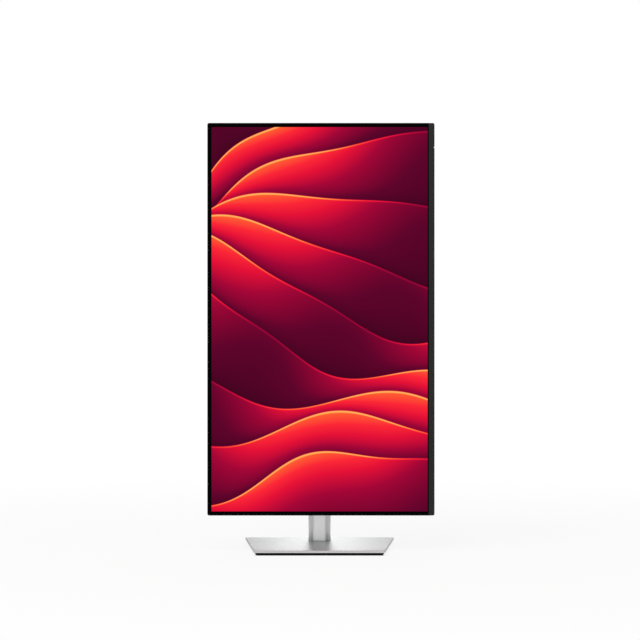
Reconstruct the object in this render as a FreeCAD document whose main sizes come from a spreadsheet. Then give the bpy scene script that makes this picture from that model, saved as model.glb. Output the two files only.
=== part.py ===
"""Desktop monitor on a stand that lifts, tilts, swivels and pivots, as a parametric document.

Millimetres. +Z is up, +X is to the right of someone in front of the screen, and the screen
faces -Y. The origin is the centre of the base's footprint on the desk. The display is stored
upright (portrait), with its chin, the broad edge of the frame, to the right.
"""
import FreeCAD, Part
import math
import os

import PartDesign
import Sketcher

# ---------------------------------------------------------------- driving sizes

SIZES = [
    # the lit panel and the narrow frame round it
    ("active_long", 527.04, "long side of the lit area"),
    ("active_short", 296.46, "short side of the lit area"),
    ("bezel_width", 5.6, "outer edge to lit area on the three narrow sides"),
    ("chin_width", 9.4, "outer edge to lit area on the chin"),
    ("display_corner", 2.5, "radius of the display's four corners"),
    ("display_depth", 47, "front of the display to the back of its bulge"),
    ("frame_depth", 10, "front of the display to the joint between frame and cover"),
    ("slab_depth", 16, "front of the display to the thin back round the bulge"),
    ("slab_bevel", 3.5, "slope at the rim of the thin back"),
    ("frame_wall", 1.2, "side wall of the frame"),
    ("lip_width", 2.0, "front lip that holds the glass"),
    ("lip_thickness", 0.8, "thickness of that lip"),
    ("lip_setback", 0.5, "lip's front behind the chin strip's front"),
    ("strip_width", 7.9, "width of the chin strip"),
    ("strip_depth", 2.6, "thickness of the chin strip"),
    ("strip_round", 1.2, "rounding of the chin strip's outer edge"),
    ("lens_length", 2, "power light's lens, along the chin"),
    ("lens_inset", 33.6, "lens centre from the end of the chin"),
    # the stack behind the glass
    ("edge_gap", 0.1, "gap round the glass and the trays"),
    ("sheet_gap", 0.1, "gap between the sheets of the stack"),
    ("glass_thickness", 1.3, "liquid-crystal glass"),
    ("film_thickness", 0.6, "diffuser and prism films together"),
    ("guide_thickness", 2.0, "light guide"),
    ("reflector_thickness", 0.3, "white reflector"),
    ("tray_gap", 0.3, "metal tray to frame wall"),
    ("tray_metal", 0.8, "metal of the tray"),
    ("led_strip_width", 2.0, "light strip with its lamps, across the chin"),
    ("led_pitch", 12.0, "one lamp to the next"),
    ("led_length", 4.0, "one lamp"),
    # the rear cover
    ("cover_wall", 2.2, "wall of the rear cover"),
    ("bulge_long", 330, "bulge along the long side, at its foot"),
    ("bulge_short", 190, "bulge along the short side, at its foot"),
    ("bulge_slope", 16, "how far the bulge's sides lean in up to its rim"),
    ("bulge_rim", 5, "depth of the bulge's rounded rim"),
    ("bulge_rim_slope", 8, "how far the rim leans in"),
    ("bulge_corner", 26, "corner radius of the bulge's foot"),
    ("bay_room", 4.8, "inner mount plate to the wall of the socket bay"),
    ("bay_long", 256, "length of the socket bay"),
    ("vent_pitch", 6.5, "one air slot to the next"),
    ("vent_width", 2.2, "width of an air slot"),
    ("vent_count", 39, "number of air slots"),
    ("vent_run", 18, "length of an air slot, front to back"),
    # where the display is carried
    ("recess_room", 4, "square recess round the mounting plate"),
    ("recess_depth", 8, "depth of that recess"),
    ("hole_spacing", 100, "square pattern of mounting holes"),
    ("plate_margin", 8, "mounting plate beyond the middles of its holes"),
    ("plate_thickness", 2, "mounting plate"),
    ("mount_screw", 1.95, "radius of a mounting screw's thread"),
    ("mount_head", 3.9, "radius of a mounting screw's head"),
    ("mount_head_height", 2.4, "mounting screw's head"),
    ("mount_grip", 12, "mounting screw below its head"),
    ("grip_spare", 1, "threaded hole beyond the screw's end"),
    ("post_radius", 5, "mounting post inside the display"),
    ("frame_margin", 15, "inner mount plate beyond the middles of its holes"),
    ("frame_metal", 1.5, "inner mount plate's thickness"),
    ("disc_radius", 26, "pivot disc"),
    ("disc_thickness", 3, "pivot disc"),
    ("pivot_radius", 6, "pivot shaft"),
    ("pivot_nut", 9, "pivot nut, middle to corner"),
    ("nut_room", 3, "space round the pivot nut"),
    ("pivot_washer", 24, "radius of the pivot's friction washer"),
    ("washer_thickness", 0.8, "friction washers of pivot and swivel"),
    ("pivot_nut_depth", 4.2, "pivot nut"),
    ("bracket_side", 52, "tilt bracket's plate"),
    ("bracket_metal", 3, "tilt bracket's plate"),
    ("bearing_gap", 0.05, "radial gap of a shaft in its bore"),
    # tilt hinge
    ("tilt_reach", 20, "tilt axis in front of the column"),
    ("ear_distance", 10.2, "back of the bracket's plate to the tilt axis"),
    ("ear_radius", 10, "tilt bracket's ears"),
    ("ear_metal", 3.5, "tilt bracket's ears"),
    ("knuckle_radius", 9, "knuckle on the end of the arm"),
    ("knuckle_half", 9, "half the knuckle's length"),
    ("tilt_washer", 1.0, "friction washer beside the knuckle"),
    ("tilt_washer_radius", 8, "friction washer beside the knuckle"),
    ("tilt_pin", 4.0, "tilt pin's radius"),
    ("tilt_head", 6.4, "radius of the tilt pin's head"),
    ("tilt_nut", 7.2, "tilt nut, middle to corner"),
    ("tilt_nut_depth", 4, "depth of the tilt nut and of the pin's head"),
    ("shroud_radius", 17.5, "hinge cover round the tilt axis"),
    ("shroud_half", 22, "half the hinge cover's length"),
    ("shroud_wall", 1.6, "hinge cover's wall"),
    # carriage and column
    ("axis_height", 319, "pivot axis above the desk, as stored"),
    ("arm_width", 10, "arm of the lift carriage"),
    ("arm_height", 16, "arm of the lift carriage"),
    ("arm_gap", 1.0, "arm to the sides of its slot"),
    ("slot_corner", 3.0, "corners of that slot"),
    ("lift_up", 22, "carriage travel upwards, as stored"),
    ("lift_down", 128, "carriage travel downwards that the slot allows"),
    ("block_up", 14, "carriage block above the axis"),
    ("block_down", 34, "carriage block below the axis"),
    ("block_room", 0.7, "carriage block to the heads of the rail screws"),
    ("glide_thickness", 1.2, "glide pads on the carriage's sides"),
    ("glide_gap", 0.1, "glide pad to the rail"),
    ("block_gap", 0.4, "carriage block behind the rail's lips"),
    ("glide_inset", 0.2, "glide pads behind the block's face"),
    ("yoke_metal", 1.2, "yoke on each side of the spring strips"),
    ("column_width", 31.3, "column, side to side"),
    ("column_depth", 44, "column, front to back"),
    ("column_rear_gap", 9, "column's back in front of the base's rear edge"),
    ("cap_clearance", 2, "raised carriage below the column's cap"),
    ("column_gap", 0.4, "column's foot above the base"),
    ("column_wall", 1.8, "column's wall"),
    ("column_corner", 9, "front corners of the column"),
    ("column_rear_corner", 5, "rear corners of the column"),
    ("column_split", 28, "joint of the column's halves behind its face"),
    ("split_gap", 0.1, "gap at that joint"),
    ("cap_thickness", 3, "cap on the column"),
    ("cap_skirt", 3, "how far the cap reaches into the column"),
    ("rail_room", 3.35, "space beside the lift rail, clear of the rounded corners"),
    ("rail_depth", 14.2, "lift rail"),
    ("rail_metal", 1.5, "lift rail"),
    ("rail_lip", 3.5, "lips beside the lift rail's open side"),
    ("rail_tail", 7, "lift rail below the carriage's lowest place"),
    ("rail_head", 8, "upper end of the rail below the column's top"),
    ("rail_screw", 1.4, "radius of a rail screw"),
    ("rail_screw_head", 1.2, "rail screw's head"),
    ("screw_skin", 0.45, "column's wall left behind the rail screws"),
    ("drum_radius", 9, "coiled lift spring"),
    ("drum_width", 6, "lift spring's strip"),
    ("drum_inset", 6, "spring beside the column's middle"),
    ("drum_drop", 15, "spring's axis below the column's top"),
    ("yoke_gap", 0.7, "yoke of the spring strips in front of the rail"),
    ("drum_pin", 2.5, "radius of the spring's pin"),
    ("strip_metal", 0.3, "lift spring's strip"),
    ("hole_drop", 40, "cable hole's middle below the lift rail's end"),
    ("hole_tall", 46, "cable hole"),
    ("hole_wide", 19, "cable hole"),
    ("grommet_wall", 1.4, "lining of the cable hole"),
    ("grommet_flange", 2.0, "flange of that lining"),
    ("grommet_proud", 0.8, "flange's thickness"),
    # swivel
    ("bracket_height", 8, "column's foot casting"),
    ("hub_flange", 11, "radius of the swivel hub's flange"),
    ("hub_flange_height", 2.4, "swivel hub's flange"),
    ("hub_post", 7, "radius of the hub's post"),
    ("spring_stack", 2.6, "disc springs on the post"),
    ("disc_spring", 10, "radius of a disc spring"),
    ("swivel_nut_height", 5.2, "nut on the post"),
    ("post_proud", 1, "post above its nut"),
    ("hub_bore", 3.0, "radius of the hub's threaded bore"),
    ("hub_bore_depth", 11, "depth of that bore"),
    ("key_radius", 1.5, "keys that stop the hub turning on the base"),
    ("key_offset", 8, "a key from the swivel axis"),
    # base
    ("base_depth", 180, "base, front to back"),
    ("base_rear_width", 213, "base at its rear edge"),
    ("base_front_width", 177, "base at its front edge"),
    ("base_corner", 2.0, "upright corners of the base"),
    ("base_chamfer", 0.8, "bevel round the base's top"),
    ("base_top", 7.0, "top of the base above the desk"),
    ("shell_height", 3.1, "side of the metal top shell"),
    ("shell_wall", 1.4, "top of the metal shell"),
    ("shell_rim", 2.4, "rim of the metal shell"),
    ("under_inset", 1.0, "under cover inside the shell's edge"),
    ("under_corner", 4, "corners of the under cover"),
    ("under_lean", 3.0, "how far the under cover's sides lean in"),
    ("under_edge", 0.2, "upright edge above the part that leans"),
    ("under_wall", 1.2, "wall of the under cover"),
    ("under_floor", 1.4, "floor of the under cover"),
    ("foot_height", 0.6, "rubber pads"),
    ("foot_long", 10.5, "rubber pad along the base's edge"),
    ("foot_wide", 9, "rubber pad the other way"),
    ("foot_inset", 9.7, "pads' middle from the edge of the base"),
    ("weight_inset", 6, "steel weight inside the base's edge"),
    ("weight_gap", 0.1, "steel weight to the shell and the floor"),
    ("boss_radius", 4.0, "screw boss"),
    ("boss_inset", 24, "screw bosses from the front and rear edges"),
    ("boss_across", 140, "screw bosses, side to side"),
    ("small_screw", 1.45, "radius of a small screw"),
    ("small_head", 2.8, "radius of its head"),
    ("small_gap", 0.15, "small screw in its clearance hole"),
    ("head_recess", 1.0, "recess for a screw's head in the under cover"),
    ("loose_gap", 0.3, "radial gap of a loose fit"),
    ("thumb_radius", 10, "base screw's head"),
    ("thumb_height", 2.2, "base screw's head"),
    ("thumb_screw", 2.95, "radius of the base screw's shank"),
    ("thumb_length", 10, "base screw's shank"),
    ("thumb_recess", 15, "radius of the hollow round the base screw's head"),
    ("ring_radius", 8.4, "folding ring on the base screw"),
    ("ring_wire", 0.8, "radius of the ring's wire"),
    ("lug_half", 2.0, "half the lug that carries the ring"),
    ("lug_wall", 0.6, "lug's metal round the wire"),
    # electronics and sockets
    ("board_metal", 1.6, "circuit board"),
    ("board_height", 14.6, "circuit boards behind the tray"),
    ("standoff_radius", 3.0, "pressed standoff"),
    ("standoff_inset", 3.6, "standoff's middle inside a board's edge"),
    ("driver_wide", 22, "driver board behind the chin"),
    ("driver_gap", 26, "driver board's end from the key board"),
    ("driver_inset", 10, "driver board inside the chin's seam"),
    ("main_room", 1, "main board to the mounting posts"),
    ("main_start", 4, "main board's edge from the pivot axis"),
    ("power_long", 76, "power board's length"),
    ("power_reach", 40, "power board beyond the pivot axis, away from the chin"),
    ("power_offset", 100, "power board and mains socket from the pivot axis"),
    ("core_long", 26, "transformer, across the board"),
    ("core_wide", 27, "transformer, along the board"),
    ("can_radius", 8, "power capacitors"),
    ("can_spacing", 20, "one capacitor to the next"),
    ("can_inset", 15, "capacitors' middle inside the board's edge"),
    ("tall_part", 15, "transformer and capacitors above the board"),
    ("inlet_wide", 27, "mains socket"),
    ("inlet_tall", 20, "mains socket"),
    ("inlet_deep", 23, "mains socket"),
    ("inlet_rise", 14, "mains socket's top above the boards"),
    ("inlet_wall", 2, "mains socket's wall"),
    ("inlet_floor", 6, "mains socket's floor"),
    ("pin_spacing", 7, "outer pins from the middle pin"),
    ("pin_stagger", 2, "pins above and below the socket's middle"),
    ("pin_tall", 4, "a mains pin"),
    ("pin_wide", 2, "a mains pin"),
    ("pin_inset", 4, "pins' ends inside the socket's mouth"),
    ("hdmi_offset", -30, "first video socket from the pivot axis"),
    ("hdmi_wide", 15, "first video socket"),
    ("display_offset", -8, "second video socket from the pivot axis"),
    ("display_wide", 16, "second video socket"),
    ("usb_offset", 14, "first USB socket from the pivot axis"),
    ("usb_wide", 13, "a USB socket"),
    ("usb_pitch", 18.2, "one USB socket to the next"),
    ("socket_deep", 13, "signal sockets"),
    ("socket_tall", 6, "signal sockets"),
    ("socket_wall", 0.5, "shell of a signal socket"),
    ("tongue_inset", 2, "a socket's tongue inside its shell"),
    ("socket_gap", 0.3, "socket in its cut-out"),
    # keys
    ("key_inset", 22, "keys from the chin's outer edge"),
    ("stick_inset", 64, "joystick from the end of the display"),
    ("button_inset", 42, "power button from the end of the display"),
    ("button_radius", 4.5, "power button"),
    ("button_travel", 0.8, "power button's travel"),
    ("stick_radius", 4.2, "joystick's cap"),
    ("stick_travel", 0.5, "joystick's travel when pressed"),
    ("key_proud", 2.0, "keys above the thin back"),
    ("key_gap", 0.5, "power button in its hole"),
    ("stick_gap", 1.6, "joystick in its hole"),
    ("collar_height", 1.4, "collar that keeps the power button in"),
    ("key_board_wide", 15, "circuit board under the keys"),
    ("key_board_end", 10, "that board beyond the keys"),
    ("switch_half", 2, "half a push switch"),
    ("gimbal_rise", 2, "joystick's pivot above its board"),
    ("gimbal_half", 0.9, "half the gimbal ring's height"),
    ("gimbal_outer", 3.6, "gimbal ring"),
    ("gimbal_inner", 2.1, "gimbal ring"),
    ("gimbal_pin", 0.5, "radius of the ring's pins"),
    ("gimbal_reach", 5.5, "ends of the ring's pins from its middle"),
    ("gimbal_post", 2, "posts that carry the ring"),
    ("stem_radius", 1.2, "joystick's stem"),
    ("stem_pin", 0.4, "radius of the stem's pin"),
    ("stem_reach", 3.2, "ends of the stem's pin from its middle"),
    ("stem_sink", 0.6, "stem's end below the thin back's face"),
    ("cap_sink", 1.6, "joystick cap's edge below that face"),
]


class Size:
    """A length as a number, with the spreadsheet formula that gives it."""

    def __init__(self, value, formula):
        self.value = value
        self.formula = formula

    def _joined(self, other, sign, value):
        return Size(value, f"({self.formula} {sign} {as_size(other).formula})")

    def __add__(self, other):
        return self._joined(other, "+", self.value + as_size(other).value)

    def __sub__(self, other):
        return self._joined(other, "-", self.value - as_size(other).value)

    def __mul__(self, other):
        return self._joined(other, "*", self.value * as_size(other).value)

    def __truediv__(self, other):
        return self._joined(other, "/", self.value / as_size(other).value)

    def __radd__(self, other):
        return as_size(other) + self

    def __rsub__(self, other):
        return as_size(other) - self

    def __rmul__(self, other):
        return as_size(other) * self

    def __neg__(self):
        return 0 - self


def as_size(value):
    return value if isinstance(value, Size) else Size(float(value), repr(float(value)))


doc = FreeCAD.newDocument("Monitor")
sheet = doc.addObject("Spreadsheet::Sheet", "Sizes")
for row, (alias, value, meaning) in enumerate(SIZES, start=1):
    sheet.set(f"A{row}", alias)
    sheet.set(f"B{row}", str(value))
    sheet.set(f"C{row}", meaning)
    sheet.setAlias(f"B{row}", alias)
doc.recompute()


class SheetSizes:
    """Reads a size by its alias: s.base_depth."""

    def __getattr__(self, alias):
        return Size(float(sheet.get(alias)), f"Sizes.{alias}")


s = SheetSizes()

# ---------------------------------------------------------------- drawing helpers

PLANES = {"top": ("XY_Plane", 1), "front": ("XZ_Plane", -1), "side": ("YZ_Plane", 1)}
TURNS = {
    "x": FreeCAD.Rotation(FreeCAD.Vector(0, 1, 0), 90),
    "y": FreeCAD.Rotation(FreeCAD.Vector(1, 0, 0), -90),
    "z": FreeCAD.Rotation(),
}
nodes = []


def bind(thing, path, size):
    """Ties one property of an object to the spreadsheet."""
    thing.setExpression(path, as_size(size).formula)


def keep(shape_object, label):
    """Names a finished sub-part and lists it for export."""
    shape_object.Label = label
    nodes.append(shape_object)
    return shape_object


def constrain(sketch, kind, geometry, point, size):
    """Holds a point of a sketch at a distance from the sketch's origin."""
    size = as_size(size)
    index = sketch.addConstraint(
        Sketcher.Constraint(kind, -1, 1, geometry, point, size.value))
    sketch.setExpression(f"Constraints[{index}]", size.formula)


def constrain_radius(sketch, geometry, size):
    size = as_size(size)
    index = sketch.addConstraint(Sketcher.Constraint("Radius", geometry, size.value))
    sketch.setExpression(f"Constraints[{index}]", size.formula)


def polygon(*points):
    """Straight sides through (across, up) points."""
    def draw(sketch):
        first = sketch.GeometryCount
        corners = [FreeCAD.Vector(as_size(a).value, as_size(b).value, 0) for a, b in points]
        for start, end in zip(corners, corners[1:] + corners[:1]):
            sketch.addGeometry(Part.LineSegment(start, end), False)
        for n, (across, up) in enumerate(points):
            following = first + (n + 1) % len(points)
            sketch.addConstraint(Sketcher.Constraint("Coincident", first + n, 2, following, 1))
            constrain(sketch, "DistanceX", first + n, 1, across)
            constrain(sketch, "DistanceY", first + n, 1, up)
    return draw


def rounded(left, right, low, high, near_corner, far_corner=None):
    """A rectangle whose lower and upper corners are arcs."""
    def draw(sketch):
        first = sketch.GeometryCount
        a, b, c, d = (as_size(edge).value for edge in (left, right, low, high))
        near = as_size(near_corner).value
        far = near if far_corner is None else as_size(far_corner).value
        ends = [((a + near, c), (b - near, c)), ((b, c + near), (b, d - far)),
                ((b - far, d), (a + far, d)), ((a, d - far), (a, c + near))]
        for start, end in ends:
            sketch.addGeometry(
                Part.LineSegment(FreeCAD.Vector(*start, 0), FreeCAD.Vector(*end, 0)), False)
        arcs = [(b - near, c + near, near, 270), (b - far, d - far, far, 0),
                (a + far, d - far, far, 90), (a + near, c + near, near, 180)]
        for across, up, radius, start in arcs:
            circle_ = Part.Circle(FreeCAD.Vector(across, up, 0), FreeCAD.Vector(0, 0, 1), radius)
            sketch.addGeometry(Part.ArcOfCircle(
                circle_, math.radians(start), math.radians(start + 90)), False)
        for n in range(4):
            line, arc = first + n, first + 4 + n
            sketch.addConstraint(Sketcher.Constraint("Tangent", line, 2, arc, 1))
            sketch.addConstraint(Sketcher.Constraint("Tangent", arc, 2, first + (n + 1) % 4, 1))
            straight = "Horizontal" if n % 2 == 0 else "Vertical"
            sketch.addConstraint(Sketcher.Constraint(straight, line))
        sketch.addConstraint(Sketcher.Constraint("Equal", first + 4, first + 7))
        sketch.addConstraint(Sketcher.Constraint("Equal", first + 5, first + 6))
        constrain_radius(sketch, first + 4, near_corner)
        constrain_radius(sketch, first + 5, near_corner if far_corner is None else far_corner)
        constrain(sketch, "DistanceX", first + 3, 1, left)
        constrain(sketch, "DistanceX", first + 1, 1, right)
        constrain(sketch, "DistanceY", first, 1, low)
        constrain(sketch, "DistanceY", first + 2, 1, high)
    return draw


def rectangle(left, right, low, high):
    return polygon((left, low), (right, low), (right, high), (left, high))


def circle(across, up, radius):
    def draw(sketch):
        centre = FreeCAD.Vector(as_size(across).value, as_size(up).value, 0)
        index = sketch.addGeometry(
            Part.Circle(centre, FreeCAD.Vector(0, 0, 1), as_size(radius).value), False)
        constrain(sketch, "DistanceX", index, 3, across)
        constrain(sketch, "DistanceY", index, 3, up)
        constrain_radius(sketch, index, radius)
    return draw


def square_pattern(middle_x, middle_z, spacing):
    """Four places round a middle, as (across, up) pairs."""
    return [(as_size(middle_x) + spacing * (i / 2), as_size(middle_z) + spacing * (k / 2))
            for i in (-1, 1) for k in (-1, 1)]


class Piece:
    """A PartDesign body, with features that add and remove material."""

    def __init__(self, label):
        self.body = doc.addObject("PartDesign::Body", label)

    def origin(self, role):
        return [part for part in self.body.Origin.OriginFeatures if part.Role == role][0]

    def sketch(self, plane, at, *outlines):
        """Outlines on the plane that looks from the top, front or side, moved along it."""
        role, sense = PLANES[plane]
        sketch = self.body.newObject("Sketcher::SketchObject", "outline")
        sketch.AttachmentSupport = [(self.origin(role), "")]
        sketch.MapMode = "FlatFace"
        bind(sketch, "AttachmentOffset.Base.z", as_size(at) * sense)
        for draw in outlines:
            draw(sketch)
        return sketch

    def add(self, plane, low, high, *outlines):
        """Material between two positions along the plane's own direction."""
        start = high if plane == "front" else low
        pad = self.body.newObject("PartDesign::Pad", "pad")
        pad.Profile = self.sketch(plane, start, *outlines)
        bind(pad, "Length", as_size(high) - low)
        return pad

    def remove(self, plane, low, high, *outlines):
        start = low if plane == "front" else high
        pocket = self.body.newObject("PartDesign::Pocket", "pocket")
        pocket.Profile = self.sketch(plane, start, *outlines)
        bind(pocket, "Length", as_size(high) - low)
        return pocket

    def loft(self, plane, *sections):
        """Straight-sided loft through (position, outline) sections."""
        sketches = [self.sketch(plane, at, draw) for at, draw in sections]
        doc.recompute()
        loft = self.body.newObject("PartDesign::AdditiveLoft", "loft")
        loft.Profile = sketches[0]
        loft.Sections = sketches[1:]
        loft.Ruled = True
        return loft

    def repeat(self, feature, axis, pitch, count):
        pattern = self.body.newObject("PartDesign::LinearPattern", "row")
        pattern.Originals = [feature]
        pattern.Direction = (self.origin(axis), [""])
        bind(pattern, "Length", as_size(pitch) * (as_size(count) - 1))
        bind(pattern, "Occurrences", count)
        self.body.Tip = pattern

    def edges(self, test):
        """The names of the body's edges that pass a test, with the feature they are on."""
        doc.recompute()
        tip = self.body.Tip
        names = [f"Edge{n}" for n, edge in enumerate(tip.Shape.Edges, 1) if test(edge)]
        return tip, names

    def fillet(self, test, radius):
        chosen = self.edges(test)
        fillet = self.body.newObject("PartDesign::Fillet", "fillet")
        fillet.Base = chosen
        bind(fillet, "Radius", radius)

    def chamfer(self, test, inward, along=None):
        """Bevel, as deep inwards as along the side unless told otherwise."""
        chosen = self.edges(test)
        chamfer = self.body.newObject("PartDesign::Chamfer", "chamfer")
        chamfer.Base = chosen
        bind(chamfer, "Size", inward)
        if along is not None:
            chamfer.ChamferType = "Two distances"
            chamfer.FlipDirection = True
            bind(chamfer, "Size2", along)


LEVEL = 1e-3    # places closer together than this are the same, mm


def rises(edge):
    """Test for an edge that isn't level."""
    return edge.BoundBox.ZLength > LEVEL


def lies_at(axis, place):
    """Test for an edge that lies wholly at one position along an axis."""
    def test(edge):
        box = edge.BoundBox
        low, high = {"x": (box.XMin, box.XMax), "y": (box.YMin, box.YMax),
                     "z": (box.ZMin, box.ZMax)}[axis]
        return max(abs(low - place.value), abs(high - place.value)) < LEVEL
    return test


def place(shape_object, x, y, z):
    for letter, size in (("x", x), ("y", y), ("z", z)):
        bind(shape_object, f"Placement.Base.{letter}", size)


def block(x_span, y_span, z_span, label="block"):
    """A box between two positions along each axis."""
    box = doc.addObject("Part::Box", label)
    for name, (low, high) in zip(("Length", "Width", "Height"), (x_span, y_span, z_span)):
        bind(box, name, as_size(high) - low)
    place(box, x_span[0], y_span[0], z_span[0])
    return box


def rod(axis, span, across, up, radius, label="rod"):
    """A cylinder along an axis; across and up are its place along the other two, in order."""
    cylinder = doc.addObject("Part::Cylinder", label)
    cylinder.Placement = FreeCAD.Placement(FreeCAD.Vector(), TURNS[axis])
    bind(cylinder, "Radius", radius)
    bind(cylinder, "Height", as_size(span[1]) - span[0])
    along = {"x": (span[0], across, up), "y": (across, span[0], up), "z": (across, up, span[0])}
    place(cylinder, *along[axis])
    return cylinder


def hexagon(axis, span, across, up, radius, label="hexagon"):
    """A six-sided nut's outside, measured to its corners."""
    prism = doc.addObject("Part::Prism", label)
    prism.Polygon = 6
    prism.Placement = FreeCAD.Placement(FreeCAD.Vector(), TURNS[axis])
    bind(prism, "Circumradius", radius)
    bind(prism, "Height", as_size(span[1]) - span[0])
    along = {"x": (span[0], across, up), "y": (across, span[0], up), "z": (across, up, span[0])}
    place(prism, *along[axis])
    return prism


def fuse(*shapes):
    if len(shapes) == 1:
        return shapes[0]
    fused = doc.addObject("Part::MultiFuse", "fuse")
    fused.Shapes = list(shapes)
    return fused


def cut(base, *tools):
    result = doc.addObject("Part::Cut", "cut")
    result.Base = base
    result.Tool = fuse(*tools)
    return result


def group(*shapes):
    """Several separate solids of one node."""
    compound = doc.addObject("Part::Compound", "group")
    compound.Links = list(shapes)
    return compound


def screw(axis, head, shank, across, up, head_radius, shank_radius):
    """A pan-head screw along an axis, from its head's span and its shank's span."""
    return fuse(rod(axis, head, across, up, head_radius),
                rod(axis, shank, across, up, shank_radius))


# ---------------------------------------------------------------- places shared by several pieces

PAST = 1        # how far a cutting outline runs past the piece, mm
NEARLY = 0.98   # two corners of a round end keep a short flat between them

base_front = -s.base_depth / 2
base_back = s.base_depth / 2
column_back = base_back - s.column_rear_gap
column_face = column_back - s.column_depth
column_half = s.column_width / 2
column_foot = s.base_top + s.column_gap
swivel_y = column_face + s.column_depth / 2
tilt_y = column_face - s.tilt_reach
axis_z = s.axis_height
column_top = axis_z + s.block_up + s.lift_up + s.cap_clearance + s.cap_thickness
rail_foot = axis_z - s.lift_down - s.block_down - s.rail_tail
hole_z = rail_foot - s.hole_drop
rail_width = s.column_width - (s.column_wall + s.rail_room) * 2

# along the pivot axis, from the tilt hinge forward to the screen
bracket_back = tilt_y - s.ear_distance
bracket_front = bracket_back - s.bracket_metal
disc_back = bracket_front - s.washer_thickness
plate_back = disc_back - s.disc_thickness
plate_front = plate_back - s.plate_thickness
bulge_back = plate_front + s.recess_depth
screen_front = bulge_back - s.display_depth
frame_back = screen_front + s.frame_depth
slab_back = screen_front + s.slab_depth
recess_inside = plate_front - s.cover_wall

plate_half = s.hole_spacing / 2 + s.plate_margin
recess_half = plate_half + s.recess_room
frame_half = s.hole_spacing / 2 + s.frame_margin
bay_edge = frame_half + s.bay_room + s.cover_wall
main_half = s.hole_spacing / 2 - s.post_radius - s.main_room

# the display's outline, upright, with its chin to the right
display_left = -(s.active_short / 2 + s.bezel_width)
display_right = s.active_short / 2 + s.chin_width
display_half = s.active_long / 2 + s.bezel_width
display_low = axis_z - display_half
display_high = axis_z + display_half
chin_seam = display_right - s.strip_width


# ---------------------------------------------------------------- base

def half_base(y, inset):
    """Half the base's width at a distance behind its front edge."""
    slope = (s.base_rear_width - s.base_front_width) / 2 / s.base_depth
    return s.base_front_width / 2 + (y - base_front) * slope - inset


def base_outline(inset):
    front, back = base_front + inset, base_back - inset
    return polygon((-half_base(front, inset), front), (half_base(front, inset), front),
                   (half_base(back, inset), back), (-half_base(back, inset), back))


under_low = s.foot_height
under_top = s.base_top - s.shell_height
under_inside = under_low + s.under_floor
shell_inside = s.base_top - s.shell_wall
boss_places = [(s.boss_across * (i / 2), y) for i in (-1, 1)
               for y in (base_front + s.boss_inset, base_back - s.boss_inset)]
key_places = [(s.key_offset * i, swivel_y) for i in (-1, 1)]


def base_shell():
    """Pressed metal top of the base, with bosses for the screws of the under cover."""
    piece = Piece("base_shell")
    piece.add("top", under_top, s.base_top, base_outline(0))
    piece.fillet(rises, s.base_corner)
    piece.chamfer(lies_at("z", s.base_top), s.base_chamfer)
    piece.remove("top", under_top, shell_inside, base_outline(s.shell_rim))
    piece.add("top", under_inside, shell_inside,
              *[circle(x, y, s.boss_radius) for x, y in boss_places])
    piece.remove("top", under_inside, shell_inside,
                 *[circle(x, y, s.small_screw) for x, y in boss_places])
    piece.remove("top", shell_inside, s.base_top,
                 circle(0, swivel_y, s.thumb_screw + s.loose_gap),
                 *[circle(x, y, s.key_radius + s.bearing_gap) for x, y in key_places])
    keep(piece.body, "base_shell")


def base_weight():
    """Steel plate that keeps the stand from tipping."""
    piece = Piece("base_weight")
    piece.add("top", under_inside + s.weight_gap, shell_inside - s.weight_gap,
              base_outline(s.weight_inset), circle(0, swivel_y, s.thumb_recess),
              *[circle(x, y, s.boss_radius + s.small_gap) for x, y in boss_places])
    keep(piece.body, "base_weight")


def base_under_cover():
    """Moulded tray under the base."""
    piece = Piece("base_under_cover")
    piece.add("top", under_low, under_top, base_outline(s.under_inset))
    piece.fillet(rises, s.under_corner)
    piece.chamfer(lies_at("z", under_low), s.under_lean, under_top - under_low - s.under_edge)
    piece.remove("top", under_inside, under_top,
                 base_outline(s.under_inset + s.under_lean + s.under_wall))
    piece.remove("top", under_low, under_inside, circle(0, swivel_y, s.thumb_recess),
                 *[circle(x, y, s.small_screw + s.small_gap) for x, y in boss_places])
    piece.remove("top", under_low, under_low + s.head_recess,
                 *[circle(x, y, s.small_head + s.small_gap) for x, y in boss_places])
    keep(piece.body, "base_under_cover")


def under_cover_screws():
    head = (under_low + s.small_gap, under_low + s.head_recess)
    shank = (under_low + s.head_recess, shell_inside - s.small_gap)
    keep(group(*[screw("z", head, shank, x, y, s.small_head, s.small_screw)
                 for x, y in boss_places]), "under_cover_screws")


def rubber_feet():
    """Three pads along the front edge and two at the rear."""
    front, rear = base_front + s.foot_inset, base_back - s.foot_inset
    front_reach = half_base(front, s.foot_inset) - s.foot_long / 2
    rear_reach = half_base(rear, s.foot_inset) - s.foot_long / 2
    places = [(-front_reach, front), (as_size(0), front), (front_reach, front),
              (-rear_reach, rear), (rear_reach, rear)]
    pads = [block((x - s.foot_long / 2, x + s.foot_long / 2),
                  (y - s.foot_wide / 2, y + s.foot_wide / 2), (0, s.foot_height))
            for x, y in places]
    keep(group(*pads), "rubber_feet")


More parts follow.
